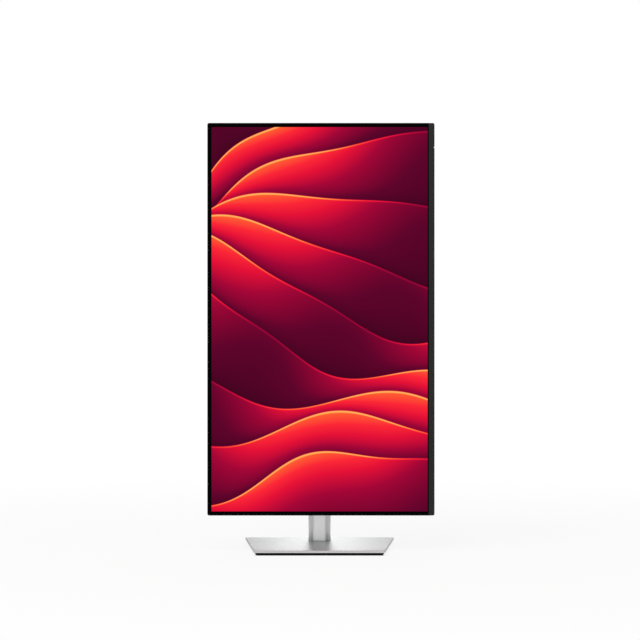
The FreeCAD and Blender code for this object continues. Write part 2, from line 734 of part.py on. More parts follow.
def base_screw():
    """Thumb screw that holds the base to the stand, with a lug for its folding ring."""
    head_low = shell_inside - s.thumb_height
    ring_z = head_low - s.ring_wire - s.small_gap
    head = rod("z", (head_low, shell_inside), 0, swivel_y, s.thumb_radius)
    shank = rod("z", (shell_inside, shell_inside + s.thumb_length), 0, swivel_y, s.thumb_screw)
    thick = s.ring_wire + s.lug_wall
    lug = block((-s.lug_half, s.lug_half), (swivel_y - thick, swivel_y + thick),
                (ring_z - thick, head_low))
    bore = rod("x", (-s.lug_half - PAST, s.lug_half + PAST), swivel_y, ring_z,
               s.ring_wire + s.bearing_gap)
    keep(cut(fuse(head, shank, lug), bore), "base_screw")

    bar = rod("x", (-s.ring_radius, s.ring_radius), swivel_y, ring_z, s.ring_wire)
    bend = doc.addObject("Part::Torus", "bend")
    bind(bend, "Radius1", s.ring_radius)
    bind(bend, "Radius2", s.ring_wire)
    bend.Angle3 = 180
    bend.Placement = FreeCAD.Placement(
        FreeCAD.Vector(), FreeCAD.Rotation(FreeCAD.Vector(0, 0, 1), 180))
    place(bend, 0, swivel_y, ring_z)
    ends = []
    for side in (-1, 1):
        ball = doc.addObject("Part::Sphere", "ball")
        bind(ball, "Radius", s.ring_wire)
        place(ball, s.ring_radius * side, swivel_y, ring_z)
        ends.append(ball)
    keep(fuse(bar, bend, *ends), "base_screw_ring")


# ---------------------------------------------------------------- swivel

bracket_top = column_foot + s.bracket_height
flange_top = s.base_top + s.hub_flange_height
post_gap = s.hub_post + s.bearing_gap
washer_top = bracket_top + s.washer_thickness
springs_top = washer_top + s.spring_stack
nut_top = springs_top + s.swivel_nut_height


def swivel_hub():
    """Flanged post that the column turns on; the base screw holds it from below."""
    piece = Piece("swivel_hub")
    piece.add("top", s.base_top, flange_top, circle(0, swivel_y, s.hub_flange))
    piece.add("top", flange_top, nut_top + s.post_proud, circle(0, swivel_y, s.hub_post))
    piece.add("top", shell_inside, s.base_top,
              *[circle(x, y, s.key_radius) for x, y in key_places])
    piece.remove("top", s.base_top, s.base_top + s.hub_bore_depth,
                 circle(0, swivel_y, s.hub_bore))
    keep(piece.body, "swivel_hub")


def swivel_fittings():
    """Friction washer, disc springs and nut above the column's foot."""
    washer = cut(rod("z", (bracket_top, washer_top), 0, swivel_y, s.hub_flange),
                 rod("z", (bracket_top, washer_top), 0, swivel_y, post_gap))
    keep(washer, "swivel_washer")
    springs = cut(rod("z", (washer_top, springs_top), 0, swivel_y, s.disc_spring),
                  rod("z", (washer_top, springs_top), 0, swivel_y, post_gap))
    keep(springs, "disc_springs")
    nut = cut(hexagon("z", (springs_top, nut_top), 0, swivel_y, s.hub_flange),
              rod("z", (springs_top, nut_top), 0, swivel_y, post_gap))
    keep(nut, "swivel_nut")


# ---------------------------------------------------------------- column

column_shell_top = column_top - s.cap_thickness
split_y = column_face + s.column_split
slot_low = axis_z - s.lift_down - s.arm_height / 2 - s.arm_gap
slot_high = axis_z + s.lift_up + s.arm_height / 2 + s.arm_gap
rail_back = column_back - s.column_wall
rail_front = rail_back - s.rail_depth
rail_top = column_top - s.rail_head


def column_outline(inset):
    return rounded(-(column_half - inset), column_half - inset,
                   column_face + inset, column_back - inset,
                   s.column_corner - inset, s.column_rear_corner - inset)


def cable_hole(inset):
    """Upright stadium through the column."""
    half = s.hole_wide / 2 - inset
    reach = s.hole_tall / 2 - inset
    return rounded(-half, half, hole_z - reach, hole_z + reach, half * NEARLY)


def column_halves():
    """Front and rear halves of the column, with a slot for the arm and a cable hole."""
    outside = s.column_width
    front = Piece("front_shell")
    front.add("top", column_foot, column_shell_top, column_outline(0),
              column_outline(s.column_wall))
    front.remove("top", column_foot, column_shell_top,
                 rectangle(-outside, outside, split_y, column_back + PAST))
    front.remove("front", column_face, column_face + s.column_corner,
                 rounded(-(s.arm_width / 2 + s.arm_gap), s.arm_width / 2 + s.arm_gap,
                         slot_low, slot_high, s.slot_corner),
                 cable_hole(0))
    keep(fuse(front.body, *spring_pins()), "column_front")

    rear = Piece("column_rear")
    rear.add("top", column_foot, column_shell_top, column_outline(0),
             column_outline(s.column_wall))
    rear.remove("top", column_foot, column_shell_top,
                rectangle(-outside, outside, column_face - PAST, split_y + s.split_gap))
    rear.remove("front", rail_back, column_back, cable_hole(0))
    rear.remove("front", rail_back, column_back - s.screw_skin,
                *[circle(0, z, s.rail_screw) for z in rail_screw_places()])
    keep(rear.body, "column_rear")


def column_bracket():
    """Cast foot inside the column, bored for the hub's post and hollowed for its flange."""
    piece = Piece("column_bracket")
    piece.add("top", column_foot, bracket_top, column_outline(s.column_wall + s.bearing_gap),
              circle(0, swivel_y, post_gap))
    piece.remove("top", column_foot, flange_top + s.small_gap,
                 circle(0, swivel_y, s.hub_flange + s.loose_gap))
    keep(piece.body, "column_bracket")


def column_cap():
    piece = Piece("column_cap")
    inside = s.column_wall + s.small_gap
    piece.add("top", column_shell_top, column_top, column_outline(0))
    piece.chamfer(lies_at("z", column_top), s.base_chamfer)
    piece.add("top", column_shell_top - s.cap_skirt, column_shell_top, column_outline(inside),
              column_outline(inside + s.grommet_wall))
    keep(piece.body, "column_cap")


def cable_grommet():
    """Plastic lining of the cable hole, with a flange at each end."""
    piece = Piece("cable_grommet")
    lining = s.grommet_wall + s.small_gap
    piece.add("front", column_face, column_back, cable_hole(s.small_gap), cable_hole(lining))
    for low, high in ((column_face - s.grommet_proud, column_face),
                      (column_back, column_back + s.grommet_proud)):
        piece.add("front", low, high, cable_hole(-s.grommet_flange), cable_hole(lining))
    keep(piece.body, "cable_grommet")


def rail_screw_places():
    return [rail_foot + rail_width, (rail_foot + rail_top) / 2, rail_top - rail_width]


def lift_rail():
    """Steel channel that guides the carriage, and the screws that hold it."""
    half = rail_width / 2
    mouth = half - s.rail_lip
    inner = half - s.rail_metal
    piece = Piece("lift_rail")
    piece.add("top", rail_foot, rail_top, polygon(
        (-half, rail_front), (-mouth, rail_front), (-mouth, rail_front + s.rail_metal),
        (-inner, rail_front + s.rail_metal), (-inner, rail_back - s.rail_metal),
        (inner, rail_back - s.rail_metal), (inner, rail_front + s.rail_metal),
        (mouth, rail_front + s.rail_metal), (mouth, rail_front), (half, rail_front),
        (half, rail_back), (-half, rail_back)))
    piece.remove("front", rail_back - s.rail_metal, rail_back,
                 *[circle(0, z, s.rail_screw) for z in rail_screw_places()])
    keep(piece.body, "lift_rail")

    face = rail_back - s.rail_metal
    screws = [screw("y", (face - s.rail_screw_head, face),
                    (face, column_back - s.screw_skin), 0, z, s.small_head, s.rail_screw)
              for z in rail_screw_places()]
    keep(group(*screws), "rail_screws")


# ---------------------------------------------------------------- lift spring and carriage

strip_y = rail_front - s.yoke_gap - s.yoke_metal - s.strip_metal
drum_y = strip_y - s.drum_radius
drum_z = column_top - s.drum_drop
yoke_high = axis_z - s.block_down / 2
yoke_low = yoke_high - s.arm_height / 2


def spring_pins():
    """Pins riveted in the column's front half, one on each side of the arm's path."""
    near, wall = s.drum_inset, column_half - s.column_wall / 2
    return [rod("x", span, drum_y, drum_z, s.drum_pin)
            for span in ((near, wall), (-wall, -near))]


def lift_springs():
    """Two coiled strips on the pins at the top of the column; each pulls the carriage up."""
    drums, strips = [], []
    near, far = s.drum_inset, s.drum_inset + s.drum_width
    for reel in ((near, far), (-far, -near)):
        drums.append(cut(rod("x", reel, drum_y, drum_z, s.drum_radius),
                         rod("x", reel, drum_y, drum_z, s.drum_pin + s.bearing_gap)))
        strips.append(block(reel, (strip_y, strip_y + s.strip_metal), (yoke_high, drum_z)))
    keep(group(*drums), "spring_drums")
    keep(group(*strips), "spring_strips")


def lift_carriage():
    """Block in the rail, yoke for the spring strips, arm through the slot and tilt knuckle."""
    half = rail_width / 2 - s.rail_metal - s.glide_gap - s.glide_thickness
    block_front = rail_front + s.rail_metal + s.block_gap
    block_back = rail_back - s.rail_metal - s.rail_screw_head - s.block_room
    body = block((-half, half), (block_front, block_back),
                 (axis_z - s.block_down, axis_z + s.block_up))
    neck = block((-s.arm_width / 2, s.arm_width / 2), (tilt_y, block_back),
                 (axis_z - s.arm_height / 2, axis_z + s.arm_height / 2))
    stem = block((-s.arm_width / 2, s.arm_width / 2),
                 (strip_y - s.yoke_metal, block_back), (yoke_low, yoke_high))
    reach = s.drum_inset + s.drum_width
    yoke = block((-reach, reach),
                 (strip_y - s.yoke_metal, strip_y + s.strip_metal + s.yoke_metal),
                 (yoke_low, yoke_high))
    knuckle = rod("x", (-s.knuckle_half, s.knuckle_half), tilt_y, axis_z, s.knuckle_radius)
    bore = rod("x", (-s.knuckle_half, s.knuckle_half), tilt_y, axis_z,
               s.tilt_pin + s.bearing_gap)
    keep(cut(fuse(body, neck, stem, yoke, knuckle), bore), "lift_carriage")

    pads = []
    for side in (-1, 1):
        span = (half, half + s.glide_thickness)
        span = span if side > 0 else (-(half + s.glide_thickness), -half)
        for low in (axis_z - s.block_down, axis_z + s.block_up - s.arm_height):
            pads.append(block(span, (block_front + s.glide_inset, block_back),
                              (low, low + s.arm_height)))
    keep(group(*pads), "glide_pads")


# ---------------------------------------------------------------- tilt hinge

ear_inner = s.knuckle_half + s.tilt_washer
ear_outer = ear_inner + s.ear_metal


def tilt_bracket():
    """Plate with two ears that straddle the carriage's knuckle."""
    half = s.bracket_side / 2
    piece = Piece("tilt_bracket")
    piece.add("front", bracket_front, bracket_back,
              rounded(-half, half, axis_z - half, axis_z + half, s.column_corner),
              circle(0, axis_z, s.pivot_radius))
    for low, high in ((-ear_outer, -ear_inner), (ear_inner, ear_outer)):
        piece.add("side", low, high, rectangle(bracket_back, tilt_y, axis_z - s.ear_radius,
                                               axis_z + s.ear_radius))
        piece.add("side", low, high, circle(tilt_y, axis_z, s.ear_radius))
        piece.remove("side", low, high, circle(tilt_y, axis_z, s.tilt_pin))
    keep(piece.body, "tilt_bracket")


def tilt_fittings():
    """Pin, nut and friction washers of the tilt hinge."""
    end = ear_outer + s.tilt_nut_depth
    pin = fuse(rod("x", (-ear_outer, end), tilt_y, axis_z, s.tilt_pin),
               rod("x", (-end, -ear_outer), tilt_y, axis_z, s.tilt_head))
    keep(pin, "tilt_pin")
    nut = cut(hexagon("x", (ear_outer, end), tilt_y, axis_z, s.tilt_nut),
              rod("x", (ear_outer, end), tilt_y, axis_z, s.tilt_pin))
    keep(nut, "tilt_nut")
    washers = []
    for low, high in ((-ear_inner, -s.knuckle_half), (s.knuckle_half, ear_inner)):
        washers.append(cut(rod("x", (low, high), tilt_y, axis_z, s.tilt_washer_radius),
                           rod("x", (low, high), tilt_y, axis_z, s.tilt_pin)))
    keep(group(*washers), "tilt_washers")


def hinge_cover():
    """Barrel-shaped cover over the tilt hinge, open at the back for the arm."""
    outer, inner = s.shroud_radius, s.shroud_radius - s.shroud_wall
    piece = Piece("hinge_cover")
    piece.add("side", -s.shroud_half, s.shroud_half,
              rectangle(bracket_back, tilt_y, axis_z - outer, axis_z + outer))
    piece.add("side", -s.shroud_half, s.shroud_half, circle(tilt_y, axis_z, outer))
    piece.remove("side", -s.shroud_half, s.shroud_half,
                 rectangle(tilt_y - outer, bracket_back, axis_z - outer, axis_z + outer))
    for profile in (rectangle(bracket_back, tilt_y, axis_z - inner, axis_z + inner),
                    circle(tilt_y, axis_z, inner)):
        piece.remove("side", -(s.shroud_half - s.shroud_wall), s.shroud_half - s.shroud_wall,
                     profile)
    slot = s.arm_width / 2 + s.arm_gap
    piece.remove("front", tilt_y, tilt_y + outer,
                 rectangle(-slot, slot, axis_z - outer, axis_z + outer))
    keep(piece.body, "hinge_cover")


# ---------------------------------------------------------------- pivot

def pivot_fittings():
    """Shaft, washer and nut that the display turns on."""
    shaft_front = plate_front - s.pivot_nut_depth - s.bearing_gap
    keep(rod("y", (shaft_front, bracket_back), 0, axis_z, s.pivot_radius), "pivot_shaft")
    washer = cut(rod("y", (disc_back, bracket_front), 0, axis_z, s.pivot_washer),
                 rod("y", (disc_back, bracket_front), 0, axis_z, s.pivot_radius))
    keep(washer, "pivot_washer")
    span = (shaft_front, plate_front - s.bearing_gap)
    nut = cut(hexagon("y", span, 0, axis_z, s.pivot_nut),
              rod("y", span, 0, axis_z, s.pivot_radius))
    keep(nut, "pivot_nut")


def mounting_plate():
    """Steel plate in the display's recess, and the disc that turns with it."""
    bore = circle(0, axis_z, s.pivot_radius + s.bearing_gap)
    plate = Piece("mounting_plate")
    plate.add("front", plate_front, plate_back,
              rounded(-plate_half, plate_half, axis_z - plate_half, axis_z + plate_half,
                      s.post_radius), bore,
              *[circle(x, z, s.mount_screw + s.small_gap)
                for x, z in square_pattern(0, axis_z, s.hole_spacing)])
    keep(plate.body, "mounting_plate")
    disc = Piece("pivot_disc")
    disc.add("front", plate_back, disc_back, circle(0, axis_z, s.disc_radius), bore)
    keep(disc.body, "pivot_disc")
    screws = [screw("y", (plate_back, plate_back + s.mount_head_height),
                    (plate_back - s.mount_grip, plate_back), x, z, s.mount_head, s.mount_screw)
              for x, z in square_pattern(0, axis_z, s.hole_spacing)]
    keep(group(*screws), "mount_screws")


# ---------------------------------------------------------------- display: front and stack

glass_front = screen_front + s.lip_setback + s.lip_thickness
glass_back = glass_front + s.glass_thickness
tray_front = glass_back + s.sheet_gap
film_back = tray_front + s.film_thickness
guide_front = film_back + s.sheet_gap
guide_back = guide_front + s.guide_thickness
reflector_front = guide_back + s.sheet_gap
reflector_back = reflector_front + s.reflector_thickness
tray_inside = reflector_back + s.sheet_gap
tray_back = tray_inside + s.tray_metal
board_front = tray_back + s.board_height
board_back = board_front + s.board_metal

# the tray's outline and the sheets' outline inside it
tray_left = display_left + s.frame_wall + s.tray_gap
tray_right = chin_seam - s.tray_gap
tray_low = display_low + s.frame_wall + s.tray_gap
tray_high = display_high - s.frame_wall - s.tray_gap
sheet_inset = s.tray_metal + s.edge_gap
light_edge = tray_right - sheet_inset - s.led_strip_width


def display_outline(inset):
    return rounded(display_left + inset, display_right - inset, display_low + inset,
                   display_high - inset, s.display_corner)


def bezel_frame():
    """Moulded frame: thin side walls, a lip over the glass and a seat for the chin strip."""
    lip_front = screen_front + s.lip_setback
    seat_back = screen_front + s.strip_depth + s.frame_wall
    wall, lip = s.frame_wall, s.lip_width
    piece = Piece("bezel_frame")
    piece.add("front", lip_front, frame_back, display_outline(0))
    piece.remove("front", lip_front, screen_front + s.strip_depth,
                 rectangle(chin_seam, display_right + PAST, display_low - PAST,
                           display_high + PAST))
    piece.remove("front", lip_front, glass_front,
                 rectangle(display_left + lip, chin_seam + wall, display_low + lip,
                           display_high - lip))
    piece.remove("front", glass_front, frame_back,
                 rectangle(display_left + wall, chin_seam, display_low + wall,
                           display_high - wall))
    piece.remove("front", seat_back, frame_back,
                 rectangle(chin_seam - wall, display_right - wall, display_low + wall,
                           display_high - wall))
    keep(piece.body, "bezel_frame")


lens_z = display_high - s.lens_inset
lens_low = lens_z - s.lens_length / 2
lens_high = lens_z + s.lens_length / 2
lens_inner = display_right - s.frame_wall


def chin_strip():
    """Trim along the chin, rounded on its outer edge, with a notch for the power light."""
    strip_back = screen_front + s.strip_depth
    piece = Piece("chin_strip")
    piece.add("front", screen_front, strip_back, display_outline(0))
    piece.remove("front", screen_front, strip_back,
                 rectangle(display_left - PAST, chin_seam, display_low - PAST,
                           display_high + PAST))
    front = lies_at("y", screen_front)
    piece.fillet(lambda edge: front(edge) and edge.BoundBox.XMax > chin_seam.value + LEVEL,
                 s.strip_round)
    piece.remove("front", screen_front, strip_back,
                 rectangle(lens_inner, display_right + PAST, lens_low, lens_high))
    keep(piece.body, "chin_strip")
    lens = block((lens_inner, display_right - s.small_gap),
                 (screen_front + s.loose_gap, strip_back),
                 (lens_low, lens_high))
    keep(lens, "power_light_lens")


def sheet_block(front, back, right):
    return block((tray_left + sheet_inset, right), (front, back),
                 (tray_low + sheet_inset, tray_high - sheet_inset))


def screen_stack():
    """Glass, films, light guide and reflector, in order from the front."""
    glass = block((display_left + s.frame_wall + s.edge_gap, chin_seam - s.edge_gap),
                  (glass_front, glass_back),
                  (display_low + s.frame_wall + s.edge_gap,
                   display_high - s.frame_wall - s.edge_gap))
    keep(glass, "screen_glass")
    sheet_right = tray_right - sheet_inset
    keep(sheet_block(tray_front, film_back, sheet_right), "optical_films")
    keep(sheet_block(guide_front, guide_back, light_edge), "light_guide")
    keep(sheet_block(reflector_front, reflector_back, sheet_right), "reflector_sheet")


def led_bar():
    """Strip of lamps along the chin that shine into the light guide's edge."""
    board_left = light_edge + s.led_strip_width / 2
    low = tray_low + sheet_inset
    piece = Piece("led_bar")
    piece.add("front", guide_front, guide_back,
              rectangle(board_left, light_edge + s.led_strip_width, low,
                        tray_high - sheet_inset))
    lamp = piece.add("front", guide_front + s.sheet_gap, guide_back - s.sheet_gap,
                     rectangle(light_edge + s.sheet_gap, board_left, low + s.led_length,
                               low + s.led_length * 2))
    piece.body.Tip = lamp
    piece.repeat(lamp, "Z_Axis", s.led_pitch, lamp_count)
    keep(piece.body, "led_bar")


lamp_count = Size(math.floor(((tray_high - tray_low) / s.led_pitch).value) - 1,
                  f"(floor({((tray_high - tray_low) / s.led_pitch).formula}) - 1)")

# ---------------------------------------------------------------- display: tray and boards

bay_wall = bay_edge - s.cover_wall
main_right = bay_wall - s.socket_gap * 2
power_right = bay_edge - s.inlet_deep - s.socket_gap * 3
power_mid = axis_z - s.power_offset
power_low = power_mid - s.power_long / 2
power_high = power_mid + s.power_long / 2
cover_screw_places = [(x, z) for x in (display_left + s.key_inset, display_right - s.key_inset)
                      for z in (display_low + s.key_inset, display_high - s.key_inset)]


def board_corners(left, right, low, high):
    """Standoff places just inside a board's corners."""
    inset = s.standoff_inset
    return [(x, z) for x in (left + inset, right - inset) for z in (low + inset, high - inset)]


def standoff_places():
    main = board_corners(s.main_start, main_right, axis_z - main_half, axis_z + main_half)
    return main + board_corners(-s.power_reach, power_right, power_low, power_high)


def panel_tray():
    """Sheet-metal tray that holds the stack, with pressed standoffs for boards and screws."""
    piece = Piece("panel_tray")
    metal = s.tray_metal
    piece.add("front", tray_front, tray_back,
              rectangle(tray_left, tray_right, tray_low, tray_high))
    piece.remove("front", tray_front, tray_inside,
                 rectangle(tray_left + metal, tray_right - metal, tray_low + metal,
                           tray_high - metal))
    piece.add("front", tray_back, board_front,
              *[circle(x, z, s.standoff_radius) for x, z in standoff_places()])
    piece.add("front", tray_back, slab_back - s.cover_wall,
              *[circle(x, z, s.standoff_radius) for x, z in cover_screw_places])
    piece.remove("front", tray_back + metal, slab_back - s.cover_wall,
                 *[circle(x, z, s.small_screw) for x, z in cover_screw_places])
    keep(piece.body, "panel_tray")


def mount_frame():
    """Inner plate on four threaded posts that takes the mounting screws."""
    places = square_pattern(0, axis_z, s.hole_spacing)
    front = recess_inside - s.frame_metal
    piece = Piece("mount_frame")
    piece.add("front", front, recess_inside,
              rounded(-frame_half, frame_half, axis_z - frame_half, axis_z + frame_half,
                      s.post_radius),
              circle(0, axis_z, s.pivot_nut + s.nut_room))
    piece.add("front", tray_back, front, *[circle(x, z, s.post_radius) for x, z in places])
    piece.remove("front", plate_back - s.mount_grip - s.grip_spare, recess_inside,
                 *[circle(x, z, s.mount_screw) for x, z in places])
    keep(piece.body, "mount_frame")


def boards():
    """Driver strip, main board and power board with its larger parts."""
    driver_right = chin_seam - s.driver_inset
    driver_half = stick_z - s.key_board_end - s.driver_gap - axis_z
    driver = block((driver_right - s.driver_wide, driver_right),
                   (tray_back, tray_back + s.board_metal),
                   (axis_z - driver_half, axis_z + driver_half))
    keep(driver, "driver_board")
    keep(block((s.main_start, main_right), (board_front, board_back),
               (axis_z - main_half, axis_z + main_half)), "main_board")
    keep(block((-s.power_reach, power_right), (board_front, board_back),
               (power_low, power_high)), "power_board")

    top = board_back + s.tall_part
    core_left = (power_right - s.power_reach - s.core_long) / 2
    core = block((core_left, core_left + s.core_long), (board_back, top),
                 (power_mid - s.core_wide / 2, power_mid + s.core_wide / 2))
    keep(core, "power_transformer")
    cans = [rod("y", (board_back, top), s.can_inset - s.power_reach, power_mid + offset,
                s.can_radius) for offset in (-s.can_spacing / 2, s.can_spacing / 2)]
    keep(group(*cans), "power_capacitors")


# ---------------------------------------------------------------- sockets

inlet_back = board_back + s.inlet_rise
inlet_front = inlet_back - s.inlet_tall
socket_face = bay_edge - s.socket_gap
hdmi_z = axis_z + s.hdmi_offset
display_z = axis_z + s.display_offset
usb_z = [axis_z + s.usb_offset, axis_z + s.usb_offset + s.usb_pitch]


def power_inlet():
    """Three-pin mains socket, open towards the chin, and its pins."""
    wall = s.inlet_wall
    half = s.inlet_wide / 2
    left = bay_edge - s.inlet_deep
    floor = left + s.inlet_floor
    shell = block((left, socket_face), (inlet_front, inlet_back),
                  (power_mid - half, power_mid + half))
    hollow = block((floor, bay_edge), (inlet_front + wall, inlet_back - wall),
                   (power_mid - half + wall, power_mid + half - wall))
    keep(cut(shell, hollow), "power_inlet")
    pins = []
    for side in (-1, 0, 1):
        middle_y = (inlet_front + inlet_back) / 2 + s.pin_stagger * (1 if side == 0 else -1)
        middle_z = power_mid + s.pin_spacing * side
        pins.append(block((floor, bay_edge - s.pin_inset),
                          (middle_y - s.pin_tall / 2, middle_y + s.pin_tall / 2),
                          (middle_z - s.pin_wide / 2, middle_z + s.pin_wide / 2)))
    keep(group(*pins), "inlet_pins")


def signal_socket(middle, width):
    """Metal shell with a tongue, open towards the chin."""
    wall = s.socket_wall
    half = width / 2
    left = socket_face - s.socket_deep
    back = board_back + s.socket_tall
    inset = s.tongue_inset
    shell = block((left, socket_face), (board_back, back), (middle - half, middle + half))
    hollow = block((left + inset, bay_edge), (board_back + wall, back - wall),
                   (middle - half + wall, middle + half - wall))
    tongue_y = (board_back + back) / 2
    tongue = block((left + wall, socket_face - inset), (tongue_y - wall, tongue_y + wall),
                   (middle - half + inset, middle + half - inset))
    return fuse(cut(shell, hollow), tongue)


def signal_sockets():
    keep(signal_socket(hdmi_z, s.hdmi_wide), "hdmi_socket")
    keep(signal_socket(display_z, s.display_wide), "display_socket")
    keep(group(*[signal_socket(z, s.usb_wide) for z in usb_z]), "usb_sockets")


# ---------------------------------------------------------------- rear cover

key_x = display_right - s.key_inset
stick_z = display_high - s.stick_inset
button_z = display_high - s.button_inset
bulge_foot = s.bulge_long / 2
bulge_side = s.bulge_short / 2
rim_start = bulge_back - s.bulge_rim


def bulge_outline(lean, wall):
    half_x = bulge_side - lean - wall
    half_z = bulge_foot - lean - wall
    return rounded(-half_x, half_x, axis_z - half_z, axis_z + half_z, s.bulge_corner - wall)


def cover_solid(label, wall):
    """The rear cover's outside, or, moved in by a wall, the space inside it."""
    piece = Piece(label)
    straight = frame_back + s.lip_setback
    slab_top = slab_back - wall
    piece.add("front", frame_back, straight, display_outline(wall))
    piece.loft("front", (straight, display_outline(wall)),
               (slab_top, display_outline(s.slab_bevel + wall)))
    lean = s.bulge_slope
    piece.loft("front", (slab_top, bulge_outline(0, wall)),
               (rim_start - wall / 2, bulge_outline(lean, wall)),
               (bulge_back - wall, bulge_outline(lean + s.bulge_rim_slope, wall)))
    return piece


def socket_cut_outs():
    """Openings in the bay's wall, a little larger than the sockets."""
    gap = s.socket_gap
    half = s.inlet_wide / 2 + gap
    outlines = [rectangle(inlet_front - gap, inlet_back + gap, power_mid - half, power_mid + half)]
    signals = [(hdmi_z, s.hdmi_wide), (display_z, s.display_wide)]
    signals += [(z, s.usb_wide) for z in usb_z]
    for middle, width in signals:
        half = width / 2 + gap
        outlines.append(rectangle(board_back - gap, board_back + s.socket_tall + gap,
                                  middle - half, middle + half))
    return outlines


def rear_cover():
    """Moulded back: thin slab and tapered bulge, mount recess, socket bay, air slots."""
    wall = s.cover_wall
    bay = s.bay_long / 2
    beyond = bulge_side + wall
    outside = cover_solid("cover_outside", as_size(0))
    outside.remove("front", plate_front, bulge_back,
                   rounded(-recess_half, recess_half, axis_z - recess_half,
                           axis_z + recess_half, s.post_radius))
    outside.remove("front", slab_back, bulge_back,
                   rectangle(bay_edge, beyond, axis_z - bay, axis_z + bay))
    outside.remove("front", slab_back - wall / 2, slab_back,
                   *[circle(x, z, s.small_head + s.small_gap) for x, z in cover_screw_places])
    outside.remove("front", frame_back, slab_back,
                   *[circle(x, z, s.small_screw + s.small_gap) for x, z in cover_screw_places],
                   circle(key_x, stick_z, s.stick_radius + s.stick_gap),
                   circle(key_x, button_z, s.button_radius + s.key_gap))
    outside.remove("front", recess_inside, plate_front,
                   circle(0, axis_z, s.pivot_nut + s.nut_room),
                   *[circle(x, z, s.mount_screw + s.small_gap)
                     for x, z in square_pattern(0, axis_z, s.hole_spacing)])
    outside.remove("side", bay_wall - s.inlet_deep, bay_edge, *socket_cut_outs())
    vent_mid = (slab_back + rim_start) / 2
    first = axis_z - s.vent_pitch * (s.vent_count - 1) / 2
    slot = outside.remove("side", -(bulge_side + wall), -(bulge_side - s.bulge_slope - wall),
                          rectangle(vent_mid - s.vent_run / 2, vent_mid + s.vent_run / 2,
                                    first - s.vent_width / 2, first + s.vent_width / 2))
    doc.recompute()
    outside.repeat(slot, "Z_Axis", s.vent_pitch, s.vent_count)

    inside = cover_solid("cover_inside", wall)
    inside.remove("front", recess_inside, bulge_back,
                  rectangle(-(recess_half + wall), recess_half + wall,
                            axis_z - recess_half - wall, axis_z + recess_half + wall))
    inside.remove("front", slab_back - wall, bulge_back,
                  rectangle(bay_wall, beyond, axis_z - bay - wall, axis_z + bay + wall))
    doc.recompute()
    keep(cut(outside.body, inside.body), "rear_cover")

    head = (slab_back - wall / 2, slab_back - s.small_gap)
    shank = (tray_back + s.tray_metal * 2, slab_back - wall / 2)
    keep(group(*[screw("y", head, shank, x, z, s.small_head, s.small_screw)
                 for x, z in cover_screw_places]), "cover_screws")


# ---------------------------------------------------------------- keys

key_board_back = tray_back + s.board_metal
key_face = slab_back + s.key_proud
collar_top = slab_back - s.cover_wall - s.sheet_gap
collar_low = collar_top - s.collar_height
switch_back = collar_low - s.button_travel - s.sheet_gap
gimbal_y = key_board_back + s.gimbal_rise
stem_end = slab_back - s.stem_sink


def key_board():
    """Circuit board with the power switch and the posts that carry the joystick's gimbal."""
    half = s.switch_half
    switch = block((key_x - half, key_x + half), (key_board_back, switch_back),
                   (button_z - half, button_z + half))
    thick = s.gimbal_post / 2
    posts = []
    for side in (-1, 1):
        middle = key_x + (s.gimbal_reach - s.gimbal_pin) * side
        posts.append(block((middle - thick, middle + thick),
                           (key_board_back, gimbal_y + s.gimbal_pin * 2),
                           (stick_z - thick, stick_z + thick)))
    board = block((key_x - s.key_board_wide / 2, key_x + s.key_board_wide / 2),
                  (tray_back, key_board_back),
                  (stick_z - s.key_board_end, button_z + s.key_board_end))
    reach = s.gimbal_reach + s.gimbal_pin
    bearing = rod("x", (key_x - reach, key_x + reach), gimbal_y, stick_z,
                  s.gimbal_pin + s.bearing_gap)
    keep(cut(fuse(board, switch, *posts), bearing), "key_board")


def power_button():
    """Round key with a collar that the rear cover holds in."""
    cap = rod("y", (collar_low, key_face), key_x, button_z, s.button_radius)
    collar = rod("y", (collar_low, collar_top), key_x, button_z,
                 s.button_radius + s.key_gap * 2)
    keep(fuse(cap, collar), "power_button")


def joystick():
    """Gimbal ring on the board's posts, stem on the ring's bearings, and cap on the stem."""
    span = (gimbal_y - s.gimbal_half, gimbal_y + s.gimbal_half)
    ring = cut(rod("y", span, key_x, stick_z, s.gimbal_outer),
               rod("y", span, key_x, stick_z, s.gimbal_inner))
    root = s.gimbal_outer - s.gimbal_pin
    trunnions = [rod("x", ends, gimbal_y, stick_z, s.gimbal_pin)
                 for ends in ((key_x + root, key_x + s.gimbal_reach),
                              (key_x - s.gimbal_reach, key_x - root))]
    cross = rod("z", (stick_z - s.gimbal_outer - PAST, stick_z + s.gimbal_outer + PAST), key_x,
                gimbal_y, s.stem_pin + s.bearing_gap)
    keep(cut(fuse(ring, *trunnions), cross), "joystick_gimbal")

    stem = fuse(rod("y", (gimbal_y - s.gimbal_half, stem_end), key_x, stick_z, s.stem_radius),
                rod("z", (stick_z - s.stem_reach, stick_z + s.stem_reach), key_x, gimbal_y,
                    s.stem_pin))
    keep(stem, "joystick_stem")
    low = slab_back - s.cap_sink
    cap = cut(rod("y", (low, key_face), key_x, stick_z, s.stick_radius),
              rod("y", (low, stem_end + s.stick_travel + s.sheet_gap), key_x, stick_z,
                  s.stem_radius + s.bearing_gap))
    keep(cap, "joystick_cap")


# ---------------------------------------------------------------- build and export

base_shell()
base_weight()
base_under_cover()
under_cover_screws()
rubber_feet()
base_screw()
swivel_hub()
swivel_fittings()
column_halves()
column_bracket()
column_cap()
cable_grommet()
lift_rail()
lift_springs()
lift_carriage()
tilt_bracket()
tilt_fittings()
hinge_cover()
pivot_fittings()
mounting_plate()
bezel_frame()
chin_strip()
screen_stack()
led_bar()
panel_tray()
mount_frame()
boards()
power_inlet()
signal_sockets()
rear_cover()
key_board()
power_button()
joystick()

doc.recompute()
failed = [item.Label for item in doc.Objects
          if {"Invalid", "Error"} & set(getattr(item, "State", []))]
failed += [node.Label for node in nodes if node.Shape.isNull() or not node.Shape.isValid()]
if failed:
    raise RuntimeError(f"these did not build: {failed}")

